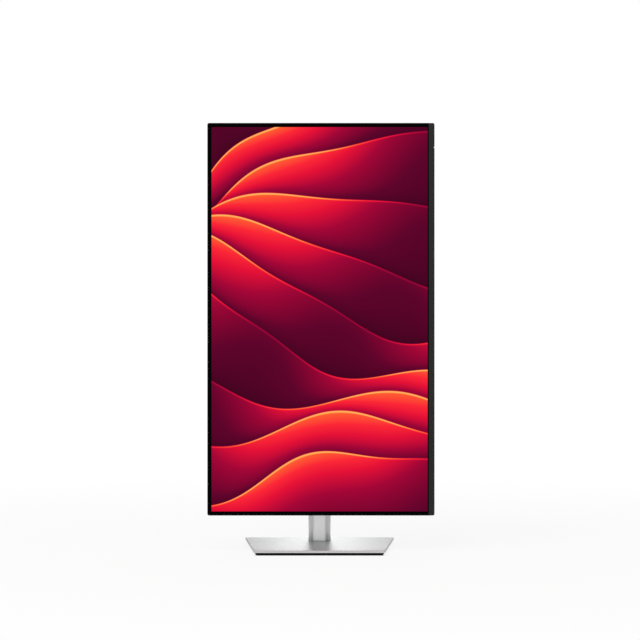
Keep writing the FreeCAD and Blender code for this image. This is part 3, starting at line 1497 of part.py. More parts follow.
os.makedirs("parts", exist_ok=True)
for node in nodes:
    node.Shape.exportStep(f"parts/{node.Label}.step")
    print(f"{node.Label}: {len(node.Shape.Solids)} solid(s), {node.Shape.Volume / 1000:.2f} cm3")
print(f"{len(nodes)} nodes")
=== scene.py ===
# %% [markdown]
# # A computer monitor, turned upright on its stand
#
# The object is a flat display on a height-adjustable stand, with the display turned a
# quarter turn so that it stands tall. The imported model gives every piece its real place
# and size. What is left for Blender is the finish of each surface, the finer shapes of
# a few small pieces, and a plain studio.
#
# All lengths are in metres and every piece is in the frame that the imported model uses:
# X to the right, Y away from the viewer and Z up.

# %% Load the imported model
import math

import bpy
import bmesh
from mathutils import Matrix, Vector


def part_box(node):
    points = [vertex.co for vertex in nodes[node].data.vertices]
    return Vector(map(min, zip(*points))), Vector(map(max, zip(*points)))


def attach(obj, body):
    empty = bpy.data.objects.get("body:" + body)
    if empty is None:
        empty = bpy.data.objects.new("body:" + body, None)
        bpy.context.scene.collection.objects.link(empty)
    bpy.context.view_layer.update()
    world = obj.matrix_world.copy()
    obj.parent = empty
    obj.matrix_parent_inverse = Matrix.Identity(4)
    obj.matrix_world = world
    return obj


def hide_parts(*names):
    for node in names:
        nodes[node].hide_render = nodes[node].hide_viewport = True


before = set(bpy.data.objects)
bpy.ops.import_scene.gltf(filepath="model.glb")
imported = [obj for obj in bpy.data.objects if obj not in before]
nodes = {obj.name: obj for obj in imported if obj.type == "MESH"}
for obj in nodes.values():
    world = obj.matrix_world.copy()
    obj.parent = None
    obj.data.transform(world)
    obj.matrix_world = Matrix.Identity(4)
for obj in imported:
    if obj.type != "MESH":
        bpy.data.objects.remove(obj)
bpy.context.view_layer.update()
MM = 0.001
WHITE = (1, 1, 1, 1)
BLACK = (0, 0, 0, 1)

# %% [markdown]
# ## A small language for shaders
#
# A finish is a network of nodes, and a network is easiest to read as arithmetic. One
# small class wraps the output of a node, so that `1 - mask * 0.5` adds the Math nodes
# that it stands for. A second class holds one material and makes any other node with a
# single call: its type, its settings and its inputs.

# %% A wrapped socket
NOISE_CONTRAST = 2.6


class Wire:
    """The output of a node. Arithmetic on it adds Math nodes."""

    def __init__(self, finish, socket):
        self.finish = finish
        self.socket = socket

    def maths(self, operation, *values, **settings):
        settings["operation"] = operation
        return self.finish.node("Math", settings, dict(enumerate(values)))

    def __add__(self, other):
        return self.maths("ADD", self, other)

    def __sub__(self, other):
        return self.maths("SUBTRACT", self, other)

    def __mul__(self, other):
        return self.maths("MULTIPLY", self, other)

    def __truediv__(self, other):
        return self.maths("DIVIDE", self, other)

    def __rsub__(self, other):
        return self.maths("SUBTRACT", other, self)

    __radd__ = __add__
    __rmul__ = __mul__

    def sine(self):
        return self.maths("SINE", self)

    def power_of_e(self):
        return self.maths("EXPONENT", self)

    def clamped(self):
        return self.maths("ADD", self, 0.0, use_clamp=True)

    def size(self):
        return self.maths("ABSOLUTE", self)

    def spread(self):
        """Smooth noise stays near its middle value. This stretches it over 0 to 1."""
        return ((self - 0.5) * NOISE_CONTRAST + 0.5).clamped()

    def at_most(self, other):
        return self.maths("MINIMUM", self, other)

    def at_least(self, other):
        return self.maths("MAXIMUM", self, other)


print("a Wire adds Math nodes, noise contrast", NOISE_CONTRAST)

# %% [markdown]
# ## One material
#
# A material could be clicked together in the shader editor, but then nobody can read how
# it was made. Here one method adds any node, and a few short ones add what comes back in
# most finishes: noise of a known size, a blend of two colours and a bump of a known depth.
# A Mix node keeps separate sockets for numbers, vectors and colours, so its colour
# sockets are picked by their place in the list.

# %% A material made one call at a time
MIX_FIRST_COLOUR = 6
MIX_SECOND_COLOUR = 7
MIX_COLOUR_RESULT = 2


class Finish:
    """One material. node() adds any node and returns its output as a Wire."""

    def __init__(self, name):
        self.material = bpy.data.materials.new(name)
        self.material.use_nodes = True
        self.tree = self.material.node_tree
        self.tree.nodes.clear()
        self.place = self.node("TexCoord", output="Object")

    def node(self, kind, settings=None, inputs=None, output=0):
        made = self.tree.nodes.new("ShaderNode" + kind)
        for key, value in (settings or {}).items():
            if key == "stops":
                set_stops(made.color_ramp, value)
            else:
                setattr(made, key, value)
        for key, value in (inputs or {}).items():
            if isinstance(value, Wire):
                self.tree.links.new(value.socket, made.inputs[key])
            else:
                made.inputs[key].default_value = value
        return Wire(self, made.outputs[output]) if made.outputs else None

    def along(self, stretch):
        """Object coordinates, with each axis multiplied."""
        return self.node("VectorMath", {"operation": "MULTIPLY"},
                         {0: self.place, 1: stretch})

    def grain(self, size, detail=2.0, stretch=(1, 1, 1)):
        """Smooth noise from 0 to 1 whose bumps are about one size across."""
        return self.node("TexNoise", {}, {"Vector": self.along(stretch), "Scale": 1 / size,
                                          "Detail": detail})

    def mix(self, share, first, second):
        """One colour where the share is 0, the other where it is 1."""
        return self.node("Mix", {"data_type": "RGBA"},
                         {"Factor": share, MIX_FIRST_COLOUR: first,
                          MIX_SECOND_COLOUR: second}, output=MIX_COLOUR_RESULT)

    def bump(self, height, depth):
        """Makes the surface look raised by up to the depth, where the height is 1."""
        return self.node("Bump", {}, {"Height": height, "Distance": depth, "Strength": 1.0})

    def surface(self, inputs):
        """Ends the network in a Principled shader."""
        shader = self.node("BsdfPrincipled", {}, inputs)
        self.node("OutputMaterial", {}, {"Surface": shader})
        return self.material


def set_stops(ramp, stops):
    """Puts (position, colour) stops on a colour ramp."""
    while len(ramp.elements) < len(stops):
        ramp.elements.new(1.0)
    for element, (position, colour) in zip(ramp.elements, stops):
        element.position = position
        element.color = colour


def srgb(red, green, blue):
    """A colour given as 0 to 255 per channel, as the linear values shaders use."""
    def linear(value):
        value /= 255
        return value / 12.92 if value <= 0.04045 else ((value + 0.055) / 1.055) ** 2.4
    return (linear(red), linear(green), linear(blue), 1.0)


print("white stays", srgb(255, 255, 255))

# %% [markdown]
# ## Metal finishes
#
# The stand is silver. Its base is a pressed sheet with a satin coat: seen close, such a
# coat has fine flakes and a faint waviness. The column is drawn aluminium, so its fine
# lines run up and down. Inside are zinc-plated steel, spring steel, a little
# brass and one grey casting. A plain metallic colour would look like plastic, so each
# metal gets small changes of colour and roughness at its own scale.

# %% Satin and drawn silver
SATIN_ROUGHNESS = 0.33
DRAWN_ROUGHNESS = 0.24
ALONG_COLUMN = (1, 1, 0.02)


def satin_silver():
    """Fine flakes over a faint waviness."""
    finish = Finish("satin_silver")
    flakes = finish.grain(0.35 * MM, detail=1.0)
    waves = finish.grain(40 * MM)
    colour = finish.mix(flakes * 0.5 + waves * 0.5, srgb(198, 199, 200), srgb(212, 212, 212))
    height = finish.bump(flakes * 0.4 + waves * 0.6, 0.012 * MM)
    return finish.surface({"Base Color": colour, "Metallic": 1.0,
                           "Roughness": flakes * 0.08 + waves * 0.05 + SATIN_ROUGHNESS,
                           "Normal": height})


def column_silver():
    """Drawing lines, which are noise stretched up and down."""
    finish = Finish("column_silver")
    lines = finish.grain(0.5 * MM, detail=3.0, stretch=ALONG_COLUMN)
    waves = finish.grain(30 * MM)
    colour = finish.mix(lines * 0.6 + waves * 0.4, srgb(222, 223, 224), srgb(238, 238, 238))
    height = finish.bump(lines, 0.008 * MM)
    return finish.surface({"Base Color": colour, "Metallic": 1.0,
                           "Roughness": lines * 0.12 + waves * 0.05 + DRAWN_ROUGHNESS,
                           "Normal": height})


print("silver roughness: base", SATIN_ROUGHNESS, "column", DRAWN_ROUGHNESS)

# %% [markdown]
# ## Metals inside
#
# Screws, brackets and shafts are plated steel and the springs are rolled strip. The
# weight in the base is cast, and the inlet's pins and the joystick's stem are brass.
# These metals differ in colour and gloss, and in the size and depth of their blotches,
# so they share one function that takes those.

# %% Metals inside


def plain_metal(name, dark, light, roughness, size, depth):
    """Cast, plated or rolled metal: blotches of one size in colour, gloss and height."""
    finish = Finish(name)
    blotches = finish.grain(size, detail=4.0)
    return finish.surface({
        "Base Color": finish.mix(blotches, dark, light), "Metallic": 1.0,
        "Roughness": blotches * 0.2 + roughness,
        "Normal": finish.bump(blotches, depth)})


print("plated, rolled and cast metals share one function")

# %% [markdown]
# ## Mouldings and rubber
#
# The back is a dark moulding with a spark-eroded grain, the front frame is finer and
# nearly black, and the chin's trim strip is a charcoal one with faint lines along it.
# All are the same kind of thing, so one function makes them: two shades of a colour, a
# grain that is also the bump, and a slow drift of colour and gloss, as handling leaves
# on plastic. Rubber has a function of its own, for its paler specks.

# %% Moulded plastics and rubber


def moulding(name, dark, light, roughness, size, depth, gloss=0.5, stretch=(1, 1, 1)):
    """Moulded plastic: a grain of one size and depth over a slow drift."""
    finish = Finish(name)
    grain = finish.grain(size, detail=3.0, stretch=stretch).spread()
    drift = finish.grain(60 * MM).spread()
    return finish.surface({
        "Base Color": finish.mix(grain * 0.6 + drift * 0.4, dark, light),
        "Roughness": grain * 0.12 + drift * 0.1 + roughness,
        "Specular IOR Level": gloss, "Normal": finish.bump(grain, depth)})


def speckled_rubber():
    """Matt rubber with a few paler specks, where the noise is near its top."""
    finish = Finish("pad_rubber")
    grain = finish.grain(0.8 * MM, detail=4.0)
    specks = (finish.grain(0.5 * MM, detail=0.0) * 6 - 3.6).clamped()
    return finish.surface({
        "Base Color": finish.mix(specks, srgb(16, 16, 17), srgb(44, 44, 46)),
        "Roughness": grain * 0.2 + 0.7, "Normal": finish.bump(grain, 0.05 * MM)})


print("mouldings and rubber are ready")

# %% [markdown]
# ## Boards and clear sheets
#
# A board is lacquer over copper tracks with solder dots, and the sheets behind the glass
# are printed with dots that spread the light. Both could be drawn as images, but a brick
# pattern gives runs like tracks and a cell pattern gives the dots, at any distance.

# %% Boards and clear sheets
TRACK_SCALE = 90.0
SOLDER_PER_METRE = 260.0
PRINT_PER_METRE = 500.0


def circuit_board(name, dark, light):
    """Lacquer over copper tracks, with scattered solder dots."""
    finish = Finish(name)
    tracks = finish.node("TexBrick", {"offset": 0.37, "squash": 0.6},
                         {"Vector": finish.along((1, 0, 1)), "Scale": TRACK_SCALE,
                          "Mortar Size": 0.03, "Mortar Smooth": 0.2}, output="Fac")
    dots = finish.node("TexVoronoi", {}, {"Vector": finish.place,
                                          "Scale": SOLDER_PER_METRE,
                                          "Randomness": 0.6}, output="Distance")
    solder = (2.2 - dots * 14).clamped()
    lacquer = finish.mix(tracks, dark, light)
    return finish.surface({
        "Base Color": finish.mix(solder, lacquer, srgb(188, 186, 176)),
        "Metallic": solder, "Roughness": 0.5 - solder * 0.15,
        "Normal": finish.bump(tracks + solder, 0.05 * MM)})


def clear_sheet(name, colour, roughness):
    """Acrylic or film: pale, with the printed dots that spread the light."""
    finish = Finish(name)
    dots = finish.node("TexVoronoi", {}, {"Vector": finish.place,
                                          "Scale": PRINT_PER_METRE,
                                          "Randomness": 0.1}, output="Distance")
    print_dot = (1.6 - dots * 8).clamped()
    return finish.surface({
        "Base Color": finish.mix(print_dot, colour, srgb(252, 252, 250)),
        "Roughness": print_dot * 0.3 + roughness})


print("dots per metre:", SOLDER_PER_METRE, "on boards,", PRINT_PER_METRE, "on sheets")

# %% [markdown]
# ## The lit screen
#
# The panel shows a picture: sheets of colour that overlap like dunes, each with a thin
# bright rim and a slope that falls off into dark. It is worked out in the shader, from
# the place on the glass. Every sheet has an edge, a wave along a slanted line. The
# distance below that edge gives the sheet's mask, its rim and its shade, and each
# later sheet covers the ones before. One colour ramp then turns brightness into the
# range from maroon through red to orange. Around the picture the glass stays black.

# %% The picture's sheets
# slant, height of the edge, sway, radians per unit, phase, depth of the slope, light's phase
SHEETS = [
    (0.55, 1.62, 0.14, 1.9, 0.6, 0.90, 0.6),
    (0.38, 1.30, 0.20, 1.7, 1.0, 1.00, 1.5),
    (0.16, 0.98, 0.24, 1.6, 2.0, 1.10, 2.4),
    (-0.06, 0.62, 0.26, 1.7, 2.9, 1.10, 3.3),
    (-0.25, 0.24, 0.24, 1.8, 3.7, 1.15, 4.2),
    (-0.38, -0.20, 0.22, 1.9, 4.6, 1.20, 5.3),
    (-0.28, -0.66, 0.24, 1.7, 5.6, 1.20, 0.2),
    (-0.10, -1.05, 0.22, 1.8, 0.5, 1.10, 1.2),
    (0.12, -1.42, 0.18, 2.0, 1.5, 1.00, 2.2),
]
RAMP = [(0.0, srgb(26, 0, 18)), (0.2, srgb(94, 0, 42)), (0.38, srgb(162, 2, 54)),
        (0.55, srgb(230, 14, 54)), (0.68, srgb(252, 38, 54)), (0.82, srgb(254, 88, 50)),
        (0.95, srgb(255, 152, 66)), (1.0, srgb(255, 178, 94))]
EDGE_SHARPNESS = 160
RIM_SHARPNESS = 120
SHADOW_FALL = 14
SLOPE_FALL = -2.5
RIPPLE_HEIGHT = 0.05


def picture(across, up):
    """Brightness of the picture from 0 to 1, where across runs from -1 to 1."""
    bright = (across * 1.3 - up * 0.8 + 1.0).sine() * 0.35 + 0.50
    for slant, height, sway, waves, phase, depth, light_at in SHEETS:
        along = across * math.cos(slant) + up * math.sin(slant)
        beside = up * math.cos(slant) - across * math.sin(slant)
        edge = (along * waves + phase).sine() * sway + height
        ripple = (along * (2.3 * waves) + 2 * phase).sine() * RIPPLE_HEIGHT
        below = edge + ripple - beside
        light = (along * 1.8 + light_at).sine() * 0.42 + 0.58
        slope = (below * (SLOPE_FALL / depth)).at_most(0.0).power_of_e()
        shade = light * slope * 0.78 + 0.10
        shadow = (below.at_most(0.0) * SHADOW_FALL).power_of_e() * 0.45
        mask = (below * EDGE_SHARPNESS + 0.5).clamped()
        bright = bright * (1 - shadow) * (1 - mask) + shade * mask
        rim = below * RIM_SHARPNESS - 0.6
        bright = bright + (rim * rim * -1.0).power_of_e() * (light * 0.32 + 0.10)
    return bright.clamped()


print(len(SHEETS), "sheets of colour,", len(RAMP), "stops on the ramp")

# %% The glass with the picture behind it
glass_low, glass_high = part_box("screen_glass")
LIT_HALF = 148.23 * MM
LIT_TALL = 263.52 * MM
FADE_PER_METRE = 20000
BLACK_GLASS = (0.0005, 0.0005, 0.0005, 1)
lit_middle = (glass_low.z + glass_high.z) / 2
print("lit area", LIT_HALF * 2, "by", LIT_TALL * 2)


def screen():
    """Black glass that lights up inside the panel's lit area."""
    finish = Finish("screen")
    side = finish.node("SeparateXYZ", {}, {0: finish.place})
    height = finish.node("SeparateXYZ", {}, {0: finish.place}, output="Z")
    across = side / LIT_HALF
    up = (height - lit_middle) / LIT_HALF
    inside = ((LIT_HALF - side.size()) * FADE_PER_METRE).clamped() \
        * ((LIT_TALL - (height - lit_middle).size()) * FADE_PER_METRE).clamped()
    colour = finish.node("ValToRGB", {"stops": RAMP}, {"Fac": picture(across, up)})
    lit = finish.mix(inside, BLACK, colour)
    return finish.surface({"Base Color": BLACK_GLASS, "Roughness": 0.4,
                           "Specular IOR Level": 0.015,
                           "Emission Color": lit, "Emission Strength": 1.0})


# %% [markdown]
# ## The power light
#
# A pale lens in the edge of the chin shows that the display is on. It glows only
# faintly, so it is a pale plastic with a little emission and no lamp of its own. The
# strip of lights inside the panel shares this finish.

# %% The small power light
LENS_GLOW = 0.06


def lit_lens():
    """Pale plastic with a faint glow."""
    finish = Finish("lens_white")
    grain = finish.grain(1.5 * MM)
    glow = finish.mix(grain, srgb(204, 207, 210), srgb(222, 224, 226))
    return finish.surface({"Base Color": glow, "Roughness": 0.3,
                           "Emission Color": glow, "Emission Strength": LENS_GLOW})


print("lens glow", LENS_GLOW)

# %% [markdown]
# ## A finish for every piece
#
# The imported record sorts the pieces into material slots, and each slot gets one finish
# here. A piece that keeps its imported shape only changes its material. Three pieces look
# unlike the rest of their slot and take another finish: the base's under cover, the
# board behind the keys and the joystick's ring.

# %% Give every node its finish
finishes = {
    "satin_silver": satin_silver(),
    "column_silver": column_silver(),
    "moulded_black": moulding("moulded_black", srgb(31, 31, 33), srgb(48, 48, 50),
                              roughness=0.40, size=1.0 * MM, depth=0.07 * MM, gloss=0.45),
    "bezel_black": moulding("bezel_black", srgb(9, 6, 7), srgb(15, 12, 13),
                            roughness=0.6, size=0.5 * MM, depth=0.002 * MM, gloss=0.03),
    "chin_charcoal": moulding("chin_charcoal", srgb(33, 33, 33), srgb(41, 41, 40),
                              roughness=0.45, size=0.6 * MM, depth=0.02 * MM, gloss=0.15,
                              stretch=(1, 1, 0.03)),
    "key_black": moulding("key_black", srgb(20, 20, 21), srgb(30, 30, 32),
                          roughness=0.35, size=0.5 * MM, depth=0.02 * MM),
    "glide_white": moulding("glide_white", srgb(214, 212, 204), srgb(228, 226, 220),
                            roughness=0.3, size=0.6 * MM, depth=0.02 * MM),
    "pad_rubber": speckled_rubber(),
    "plated_steel": plain_metal("plated_steel", srgb(150, 152, 156), srgb(192, 192, 190),
                                roughness=0.22, size=2.5 * MM, depth=0.01 * MM),
    "spring_steel": plain_metal("spring_steel", srgb(110, 114, 122), srgb(150, 152, 156),
                                roughness=0.18, size=1.2 * MM, depth=0.01 * MM),
    "cast_metal": plain_metal("cast_metal", srgb(118, 119, 121), srgb(142, 142, 143),
                              roughness=0.42, size=0.9 * MM, depth=0.06 * MM),
    "contact_brass": plain_metal("contact_brass", srgb(186, 152, 84), srgb(214, 184, 118),
                                 roughness=0.2, size=1.5 * MM, depth=0.01 * MM),
    "clear_acrylic": clear_sheet("clear_acrylic", srgb(222, 230, 232), roughness=0.12),
    "white_film": clear_sheet("white_film", srgb(236, 236, 236), roughness=0.5),
    "board_green": circuit_board("board_green", srgb(14, 74, 42), srgb(26, 104, 58)),
    "screen": screen(),
    "lens_white": lit_lens(),
}
own_finishes = {
    "base_under_cover": moulding("under_black", srgb(24, 24, 25), srgb(32, 32, 33),
                                 roughness=0.6, size=0.7 * MM, depth=0.02 * MM, gloss=0.05),
    "key_board": circuit_board("board_black", srgb(13, 14, 14), srgb(21, 22, 22)),
    "joystick_gimbal": finishes["key_black"],
}
for node in nodes.values():
    slot = node.material_slots[0].material.name.split(".")[0]
    for holder in node.material_slots:
        holder.material = finishes[slot]
for name, finish in own_finishes.items():
    nodes[name].material_slots[0].material = finish
print(len(finishes), "slots and", len(own_finishes), "pieces apart, on", len(nodes), "nodes")

# %% [markdown]
# ## Small round pieces
#
# Screw heads, keys and pads are small, but close views rest on their edges: a real
# screw has a domed head with a cross recess, a key has a rounded rim and a shallow dish
# for a finger, and a pad has soft corners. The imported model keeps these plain. Each is
# rebuilt here from loops of points. A stack of loops is like the rings of a barrel: a
# band of faces joins each loop to the next and a cap closes each end, so one helper
# makes them all. A loop may change shape on the way, which is how the cross recess
# grows out of a round dome.

# %% Loops joined into a piece
SHARP_ANGLE = math.radians(38)
SAME_PLACE = 1e-7


def build_piece(name, stacks, node, body, slot):
    """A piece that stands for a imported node, one closed solid for each stack of loops."""
    shape = bmesh.new()
    for stack in stacks:
        rings = [[shape.verts.new(point) for point in loop] for loop in stack]
        for low, high in zip(rings, rings[1:]):
            for k in range(len(low)):
                after = (k + 1) % len(low)
                shape.faces.new((low[k], low[after], high[after], high[k]))
        shape.faces.new(list(reversed(rings[0])))
        shape.faces.new(rings[-1])
    bmesh.ops.recalc_face_normals(shape, faces=shape.faces)
    mesh = bpy.data.meshes.new(name)
    shape.to_mesh(mesh)
    shape.free()
    mesh.shade_smooth()
    mesh.set_sharp_from_angle(angle=SHARP_ANGLE)
    mesh.materials.append(finishes[slot])
    piece = bpy.data.objects.new(name, mesh)
    bpy.context.scene.collection.objects.link(piece)
    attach(piece, body)
    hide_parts(node)
    print(name, len(mesh.vertices), "vertices,", len(stacks), "solids")


def islands(node):
    """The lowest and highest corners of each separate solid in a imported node."""
    shape = bmesh.new()
    shape.from_mesh(nodes[node].data)
    bmesh.ops.remove_doubles(shape, verts=shape.verts, dist=SAME_PLACE)
    left, found = set(shape.verts), []
    for seed in list(shape.verts):
        if seed not in left:
            continue
        left.discard(seed)
        group = [seed]
        for vertex in group:
            for edge in vertex.link_edges:
                other = edge.other_vert(vertex)
                if other in left:
                    left.discard(other)
                    group.append(other)
        places = [vertex.co for vertex in group]
        found.append([Vector([pick(place[i] for place in places) for i in range(3)])
                      for pick in (min, max)])
    shape.free()
    return found


print(len(islands("rubber_feet")), "pads,", len(islands("cover_screws")), "cover screws")

# %% [markdown]
# ## Turned shapes
#
# A screw or a round key is like something off a lathe: a profile swept round an axis.
# Here every axis lies along Y, the way the back of the display faces. A radius may
# depend on the angle, which draws a cross, and a height may depend on the radius, which
# lets the cross follow the dome.

# %% Turned shapes along Y
POINTS = 96


def turned(middle, profile):
    """Loops around an axis along Y, from (radius, y) pairs or (radius by angle, y by radius)."""
    stack = []
    for radius, height in profile:
        loop = []
        for k in range(POINTS):
            angle = 2 * math.pi * k / POINTS
            reach = radius(angle) if callable(radius) else radius
            rise = height(reach) if callable(height) else height
            loop.append((middle.x + reach * math.cos(angle), rise,
                         middle.z + reach * math.sin(angle)))
        stack.append(loop)
    return stack


def cross(reach, half, scale=1.0):
    """Outline of a cross recess, as a radius for each angle."""
    def radius(angle):
        from_arm = abs((angle + math.pi / 4) % (math.pi / 2) - math.pi / 4)
        return scale * min(reach, half / max(math.sin(from_arm), 1e-6))
    return radius


print(POINTS, "points around each loop")

# %% [markdown]
# ## Screws
#
# The mounting screws stand on the plate with tall domed heads. The cover screws are
# smaller and nearly flat. Both have a rounded rim and a cross recess that narrows as it
# goes down, so one profile serves, with the sizes of each kind beside it.

# %% Cover screws and mounting screws
MOUNT_SCREW = {"head": 3.9 * MM, "shank": 1.95 * MM, "dome": 0.7 * MM, "drive": 1.5 * MM}
SMALL_SCREW = {"head": 2.8 * MM, "shank": 1.45 * MM, "thick": 0.95 * MM,
               "dome": 0.15 * MM, "drive": 0.7 * MM}


def pan_screw(low, high, head, shank, thick, dome, drive):
    """Shank, then a head with a rounded rim and a domed top, then the recess in it."""
    middle = (low + high) / 2
    top, seat = high.y, high.y - thick
    rim = head * 0.86

    def crown(radius):
        return top - dome * (radius / head) ** 2
    cross_reach, cross_half = head * 0.5, head * 0.13
    return turned(middle, [
        (shank * 0.6, low.y), (shank, low.y + shank * 0.5), (shank, seat), (head, seat),
        (head, crown(head) - thick * 0.12), (head * 0.97, crown(head)), (rim, crown),
        (head * 0.7, crown), (cross(cross_reach, cross_half, 1.12), crown),
        (cross(cross_reach, cross_half), lambda radius: crown(radius) - drive * 0.12),
        (cross(cross_reach, cross_half, 0.5), top - drive)])


mount = islands("mount_screws")
cover = islands("cover_screws")
plate_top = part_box("mounting_plate")[1].y
build_piece("mount_screw_heads",
            [pan_screw(low, high, thick=high.y - plate_top, **MOUNT_SCREW)
             for low, high in mount], "mount_screws", "display", "plated_steel")
build_piece("cover_screw_heads",
            [pan_screw(low, high, **SMALL_SCREW)
             for low, high in cover], "cover_screws", "display", "plated_steel")

# %% [markdown]
# ## Screws that face down
#
# The base's under cover is held by the same small screws, with their heads towards the
# desk. A second function for that direction would repeat the first, so the piece's
# corners are turned to face along Y, the screw is made, and its loops are turned back.

# %% Screws that face down


def on_its_side(low, high):
    """The corners of a piece that faces down, turned so that its face looks along Y."""
    return Vector((low.x, -high.z, low.y)), Vector((high.x, -low.z, high.y))


def facing_down(stack):
    """The same turn undone, for loops that were made along Y."""
    return [[(x, z, -y) for x, y, z in loop] for loop in stack]


build_piece("under_screw_heads",
            [facing_down(pan_screw(*on_its_side(low, high), **SMALL_SCREW))
             for low, high in islands("under_cover_screws")],
            "under_cover_screws", "base", "plated_steel")

# %% [markdown]
# ## Keys
#
# The power button is a disc on a wider collar that keeps it from falling out, with a
# shallow dish for a finger. The joystick's cap is hollow below for its stem and has a
# raised ring on top. Each profile is read from the foot up, as offsets from the two
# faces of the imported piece, so that the keys stay at their real height.

# %% Power button and joystick cap
key_low, key_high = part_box("power_button")
face, foot = key_high.y, key_low.y
collar, cap = 5.5 * MM, 4.5 * MM
build_piece("power_key", [turned((key_low + key_high) / 2, [
    (collar, foot), (collar, foot + 1.4 * MM), (cap, foot + 1.4 * MM),
    (cap, face - 0.6 * MM), (cap - 0.08 * MM, face - 0.28 * MM),
    (cap - 0.28 * MM, face - 0.08 * MM), (cap - 0.6 * MM, face), (3.3 * MM, face - 0.04 * MM),
    (2.2 * MM, face - 0.16 * MM), (1.0 * MM, face - 0.22 * MM)])],
    "power_button", "power_key", "key_black")

stick_low, stick_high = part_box("joystick_cap")
face, foot = stick_high.y, stick_low.y
hole, cap = 1.35 * MM, 4.19 * MM
build_piece("joystick_nub", [turned((stick_low + stick_high) / 2, [
    (hole, foot + 1.6 * MM), (hole, foot), (cap - 0.5 * MM, foot),
    (cap - 0.14 * MM, foot + 0.12 * MM), (cap, foot + 0.5 * MM), (cap, face - 0.7 * MM),
    (cap - 0.12 * MM, face - 0.3 * MM), (cap - 0.4 * MM, face - 0.05 * MM),
    (cap - 0.7 * MM, face), (cap - 1.0 * MM, face - 0.05 * MM),
    (cap - 1.2 * MM, face - 0.3 * MM), (1.6 * MM, face - 0.42 * MM),
    (0.6 * MM, face - 0.46 * MM)])],
    "joystick_cap", "stick_cap", "key_black")

# %% [markdown]
# ## Soft blocks
#
# Rubber pads and the light's lens are small blocks with rounded corners and edges. A
# bevel modifier could do it, but two quarter circles are enough: one goes round each
# corner, and one draws the loops in towards each end.

# %% Soft blocks: rubber pads and the power light's lens
BLOCK_POINTS = 32
EDGE_TURNS = [math.radians(30 * step) for step in range(4)]


def soft_block(low, high, axis, corner, edge):
    """A block with rounded corners around an axis and rounded edges at both ends."""
    first, second = [i for i in range(3) if i != axis]
    near_end = [(turn, low[axis], 1) for turn in EDGE_TURNS]
    far_end = [(turn, high[axis], -1) for turn in reversed(EDGE_TURNS)]
    stack = []
    for turn, end, inward in near_end + far_end:
        inset = edge * (1 - math.sin(turn))
        along = end + inward * edge * (1 - math.cos(turn))
        loop = []
        for k in range(BLOCK_POINTS):
            angle = 2 * math.pi * (k + 0.5) / BLOCK_POINTS
            point = [0.0, 0.0, 0.0]
            point[axis] = along
            for i, part in ((first, math.cos(angle)), (second, math.sin(angle))):
                centre = high[i] - corner if part > 0 else low[i] + corner
                point[i] = centre + (corner - inset) * part
            loop.append(point)
        stack.append(loop)
    return stack


build_piece("foot_pads", [soft_block(low, high, axis=2, corner=2.2 * MM, edge=0.18 * MM)
                          for low, high in islands("rubber_feet")],
            "rubber_feet", "base", "pad_rubber")
build_piece("power_light", [soft_block(*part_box("power_light_lens"), axis=1,
                                       corner=0.45 * MM, edge=0.2 * MM)],
            "power_light_lens", "display", "lens_white")

# %% [markdown]
# ## Floor, light and world
#
# The studio is plain: a pale floor, three soft lamps and a sky. Metal shows what it
# reflects, so the sky is pale in front of the object and darker at its two sides, as
# between two grey screens. It is also darker overhead, and low down behind. The camera
# sees it as plain white. The floor looks white to the camera too, apart from a faint
# shade near the object, and mirrors see it darken at the sides as the sky does. Under
# the base it is matt, so that the underside doesn't mirror a glow.

# %% Floor
FLOOR_REACH = 60.0
SHADE_REACH = 1.4
SHADE_DEPTH = 0.13
UNDER_BASE_HALF = 0.088
SCREEN_SHADE = 0.85
floor_mesh = bpy.data.meshes.new("floor")
floor_mesh.from_pydata([(x * FLOOR_REACH, y * FLOOR_REACH, 0)
                        for x, y in ((-1, -1), (1, -1), (1, 1), (-1, 1))], [], [(0, 1, 2, 3)])
floor = bpy.data.objects.new("floor", floor_mesh)
bpy.context.scene.collection.objects.link(floor)


def side_shade(sideways, backwards):
    """Grows from 0 ahead to 1 at both sides, and fades again only straight behind."""
    return ((sideways - 0.06) * 1.9).clamped() * ((1.02 - backwards) * 6.0).clamped()


def pale_floor():
    """Glows to the camera and in mirrors, darker there at the sides, and is matt to the rest."""
    finish = Finish("pale_floor")
    mirrored = finish.node("LightPath", output="Is Glossy Ray")
    seen = finish.node("LightPath", output="Is Camera Ray").at_least(mirrored)
    grain = finish.grain(300 * MM)
    matt = finish.node("BsdfDiffuse", {}, {
        "Color": finish.mix(grain, srgb(238, 238, 238), srgb(242, 242, 242))})
    distance = finish.node("VectorMath", {"operation": "LENGTH"}, {0: finish.place},
                           output="Value")
    near = (SHADE_REACH - distance).clamped()
    across = finish.node("SeparateXYZ", {}, {0: finish.place})
    along = finish.node("SeparateXYZ", {}, {0: finish.place}, output="Y")
    sides = side_shade(across.size() / distance, along / distance) \
        * ((distance - 0.3) * 3.0).clamped()
    glow = finish.node("Emission", {}, {"Color": WHITE,
                                        "Strength": 1 - mirrored * sides * SCREEN_SHADE})
    under = ((UNDER_BASE_HALF - across.size().at_least(along.size())) * 400).clamped()
    both = finish.node("MixShader", {}, {
        0: seen * (1 - near * SHADE_DEPTH) * (1 - under), 1: matt, 2: glow})
    finish.node("OutputMaterial", {}, {"Surface": both})
    return finish.material


floor_mesh.materials.append(pale_floor())
print("floor reaches", FLOOR_REACH, "m each way")

# %% World
DIFFUSE_SKY = 0.62
CEILING_SHADE = 0.35
BEHIND_SHADE = 0.55
world = bpy.data.worlds.new("studio")
world.use_nodes = True
bpy.context.scene.world = world


class Sky(Finish):
    """The same node language for the world."""

    def __init__(self, world):
        self.tree = world.node_tree
        self.tree.nodes.clear()


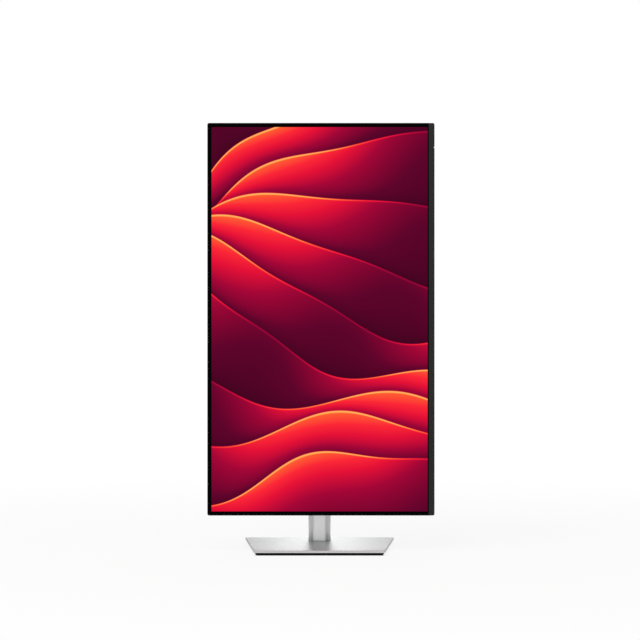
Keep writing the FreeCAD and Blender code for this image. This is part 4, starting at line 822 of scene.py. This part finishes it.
sky = Sky(world)
direction = sky.node("TexCoord", output="Generated")
sideways = sky.node("SeparateXYZ", {}, {0: direction}).size()
upwards = sky.node("SeparateXYZ", {}, {0: direction}, output="Z")
backwards = sky.node("SeparateXYZ", {}, {0: direction}, output="Y")
sides = side_shade(sideways, backwards)
ceiling = ((upwards - 0.45) * 2.5).clamped()
behind = (backwards * 2.0).clamped()
low = ((0.40 - upwards.size()) * 5.0).clamped()
mirrored = (1 - (sides * low * SCREEN_SHADE).at_least(ceiling * CEILING_SHADE)) \
    * (1 - behind * low * BEHIND_SHADE)
camera_ray = sky.node("LightPath", output="Is Camera Ray")
glossy_ray = sky.node("LightPath", output="Is Glossy Ray")
through_ray = sky.node("LightPath", output="Is Transmission Ray")
strength = DIFFUSE_SKY + glossy_ray * (mirrored - DIFFUSE_SKY)
strength = strength + camera_ray.at_least(through_ray) * (1 - DIFFUSE_SKY)
background = sky.node("Background", {}, {"Color": WHITE, "Strength": strength})
sky.node("OutputWorld", {}, {"Surface": background})
print("sky lights matt surfaces at", DIFFUSE_SKY)

# %% Lamps


def softbox(name, place, target, width, height, energy):
    """A rectangular lamp that points at a target and stays out of the picture."""
    lamp = bpy.data.lights.new(name, "AREA")
    lamp.shape = "RECTANGLE"
    lamp.size = width
    lamp.size_y = height
    lamp.energy = energy
    holder = bpy.data.objects.new(name, lamp)
    holder.location = place
    holder.visible_camera = False
    holder.rotation_euler = (Vector(target) - Vector(place)).to_track_quat(
        "-Z", "Y").to_euler()
    bpy.context.scene.collection.objects.link(holder)
    print(name, energy, "W")


softbox("front_softbox", (-0.9, -1.6, 1.9), (0, 0, 0.25), width=1.8, height=1.2, energy=24)
softbox("rear_softbox", (0.25, 1.7, 1.2), (0, 0, 0.1), width=0.9, height=0.6, energy=1.5)
softbox("low_softbox", (0, 1.4, 0.36), (0, 0, 0), width=0.18, height=0.3, energy=0.37)

# %% [markdown]
# ## Camera
#
# The camera looks level along Y with a long lens, a little below the middle of the
# display, so the base shows its top as a thin band. A small upward shift of the lens
# places the object in the frame without tilting the camera, so upright edges stay
# upright.

# %% Camera
LENS = 116.95
SENSOR = 36.0
LENS_SHIFT = 0.0148
CAMERA_SIDE = 0.0006
CAMERA_AWAY = 2.86
CAMERA_HEIGHT = 0.305
cover_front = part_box("rear_cover")[0].y
camera_data = bpy.data.cameras.new("camera")
camera_data.lens = LENS
camera_data.sensor_width = SENSOR
camera_data.shift_y = LENS_SHIFT
camera = bpy.data.objects.new("camera", camera_data)
camera.location = (CAMERA_SIDE, cover_front - CAMERA_AWAY, CAMERA_HEIGHT)
camera.rotation_euler = (math.radians(90), 0, 0)
bpy.context.scene.collection.objects.link(camera)
bpy.context.scene.camera = camera
bpy.context.scene.view_settings.view_transform = "Standard"
print("camera", [round(value, 3) for value in camera.location])
